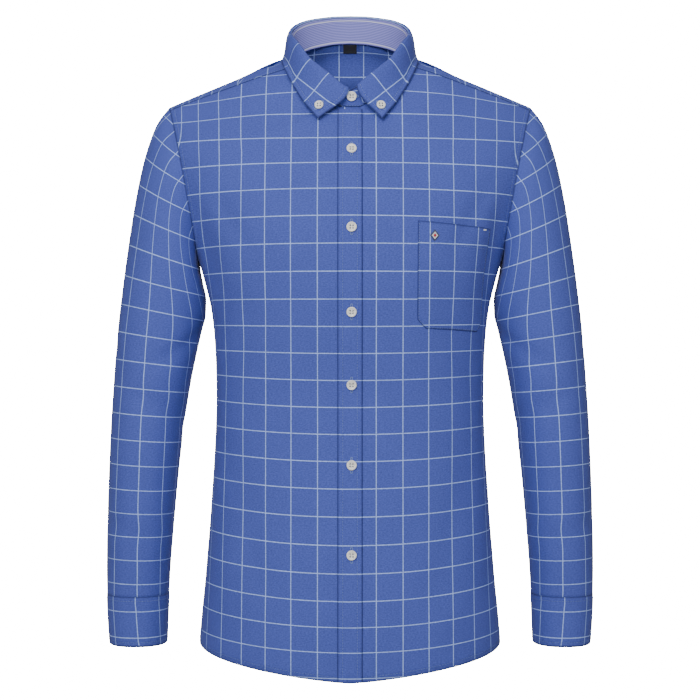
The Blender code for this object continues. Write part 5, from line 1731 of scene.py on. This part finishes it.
# -------------------------------------------------------------------------------- the add-on


def size(name, text, millimetres):
    return FloatProperty(name=name, description=text, default=millimetres * MM, min=0.0,
                         unit="LENGTH", precision=5)


def colour(name, text, value):
    return FloatVectorProperty(name=name, description=text, default=value, size=3,
                               subtype="COLOR", min=0.0, max=1.0)


class SHIRT_cloth(PropertyGroup):
    """Sizes and colours of the cloth."""

    thickness: size("Thickness", "Wall of a panel of cloth", 0.8)
    yarn: size("Weave", "Side of one cell of the basket weave", 0.55)
    pane: size("Check", "Distance between the lines of the check", PANE)
    line: size("Line", "Width of a line of the check", 1.1)
    warp: colour("Warp", "Darker blue yarn", (0.056, 0.082, 0.380))
    weft: colour("Weft", "Lighter blue yarn", (0.092, 0.127, 0.480))
    lines: colour("Lines", "Lines of the check", (0.38, 0.52, 1.0))
    stripe: size("Stripe", "Distance between the stripes inside the collar", 2.0)
    facing: colour("Facing", "Stripes of the striped cloth", (0.13, 0.13, 0.46))


class SHIRT_sewing(PropertyGroup):
    """Sizes and colours of the sewing."""

    thread: size("Thread", "Width of a stitch", 0.45)
    stitch: size("Stitch", "Length of a stitch", 2.4)
    yarn_dark: colour("Thread shade", "Darker side of the thread", (0.080, 0.130, 0.36))
    yarn_light: colour("Thread light", "Lighter side of the thread", (0.20, 0.28, 0.60))


class SHIRT_buttons(PropertyGroup):
    """Sizes and colours of the buttons."""

    diameter: size("Button", "Width of a front, stand or cuff button", 11.7)
    small: size("Collar button", "Width of a collar-point button", 10.5)
    ivory: colour("Ivory", "Light part of the button", (0.98, 0.96, 0.90))
    ivory_dark: colour("Ivory shade", "Cloudy part of the button", (0.90, 0.87, 0.80))


class SHIRT_studio(PropertyGroup):
    """Floor and light."""

    floor: colour("Floor", "Floor and backdrop", (0.45, 0.45, 0.45))
    light: FloatProperty(name="Light", description="Strength of the lamps", default=1.0, min=0.0)
    fill: FloatProperty(name="Fill", description="Strength of the room's light", default=0.14,
                        min=0.0)
    glow: FloatProperty(name="Glow", description="Own light of the backdrop", default=30.0,
                        min=0.0)


class ShirtOperator:
    """Common to the operators: each makes its pieces with the settings of its group."""

    bl_options = {"REGISTER", "UNDO"}

    def execute(self, context):
        self.make(getattr(context.scene, self.group))
        return {"FINISHED"}


class SHIRT_OT_fronts(ShirtOperator, Operator):
    """Make both fronts with the strip of buttonholes and the pocket"""

    bl_idname, bl_label, group = "shirt.fronts", "Fronts", "shirt_cloth"

    def make(self, settings):
        make_fronts(settings)


class SHIRT_OT_back(ShirtOperator, Operator):
    """Make the back and the yoke"""

    bl_idname, bl_label, group = "shirt.back", "Back and yoke", "shirt_cloth"

    def make(self, settings):
        make_back(settings)


class SHIRT_OT_sleeves(ShirtOperator, Operator):
    """Make the sleeves, the cuffs and the strips over the slits"""

    bl_idname, bl_label, group = "shirt.sleeves", "Sleeves and cuffs", "shirt_cloth"

    def make(self, settings):
        make_sleeves(settings)


class SHIRT_OT_collar(ShirtOperator, Operator):
    """Make the collar, its facing and the label"""

    bl_idname, bl_label, group = "shirt.collar", "Collar", "shirt_cloth"

    def make(self, settings):
        make_collar(settings)


class SHIRT_OT_sewing(ShirtOperator, Operator):
    """Make the stitches, the buttonholes and the emblem"""

    bl_idname, bl_label, group = "shirt.sewing", "Sewing", "shirt_sewing"

    def make(self, settings):
        make_sewing(settings)


class SHIRT_OT_buttons(ShirtOperator, Operator):
    """Make every button with its thread"""

    bl_idname, bl_label, group = "shirt.buttons", "Buttons", "shirt_buttons"

    def make(self, settings):
        make_buttons(settings)


class SHIRT_OT_studio(ShirtOperator, Operator):
    """Make the floor, the lights and the camera"""

    bl_idname, bl_label, group = "shirt.studio", "Studio", "shirt_studio"

    def make(self, settings):
        make_studio(settings)


GROUPS = {"shirt_cloth": SHIRT_cloth, "shirt_sewing": SHIRT_sewing,
          "shirt_buttons": SHIRT_buttons, "shirt_studio": SHIRT_studio}
STEPS = (SHIRT_OT_fronts, SHIRT_OT_back, SHIRT_OT_sleeves, SHIRT_OT_collar, SHIRT_OT_sewing,
         SHIRT_OT_buttons, SHIRT_OT_studio)


class SHIRT_PT_panel(Panel):
    """The shirt's steps in the sidebar."""

    bl_idname, bl_label = "SHIRT_PT_panel", "Oxford shirt"
    bl_space_type, bl_region_type, bl_category = "VIEW_3D", "UI", "Shirt"

    def draw(self, context):
        for step in STEPS:
            self.layout.operator(step.bl_idname)


def register():
    """Add the settings, the operators and the panel."""
    for kind in (*GROUPS.values(), *STEPS, SHIRT_PT_panel):
        bpy.utils.register_class(kind)
    for name, kind in GROUPS.items():
        setattr(bpy.types.Scene, name, PointerProperty(type=kind))


def unregister():
    """Take them away again."""
    for name in GROUPS:
        delattr(bpy.types.Scene, name)
    for kind in (SHIRT_PT_panel, *STEPS[::-1], *GROUPS.values()):
        bpy.utils.unregister_class(kind)


def main():
    """Make the shirt step by step, and note its size before and after."""
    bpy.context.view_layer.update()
    register()
    for step in STEPS:
        group, name = step.bl_idname.split(".")
        if getattr(getattr(bpy.ops, group), name)() != {"FINISHED"}:
            raise RuntimeError(f"{step.bl_label} could not be made")


if __name__ == "__main__":
    main()
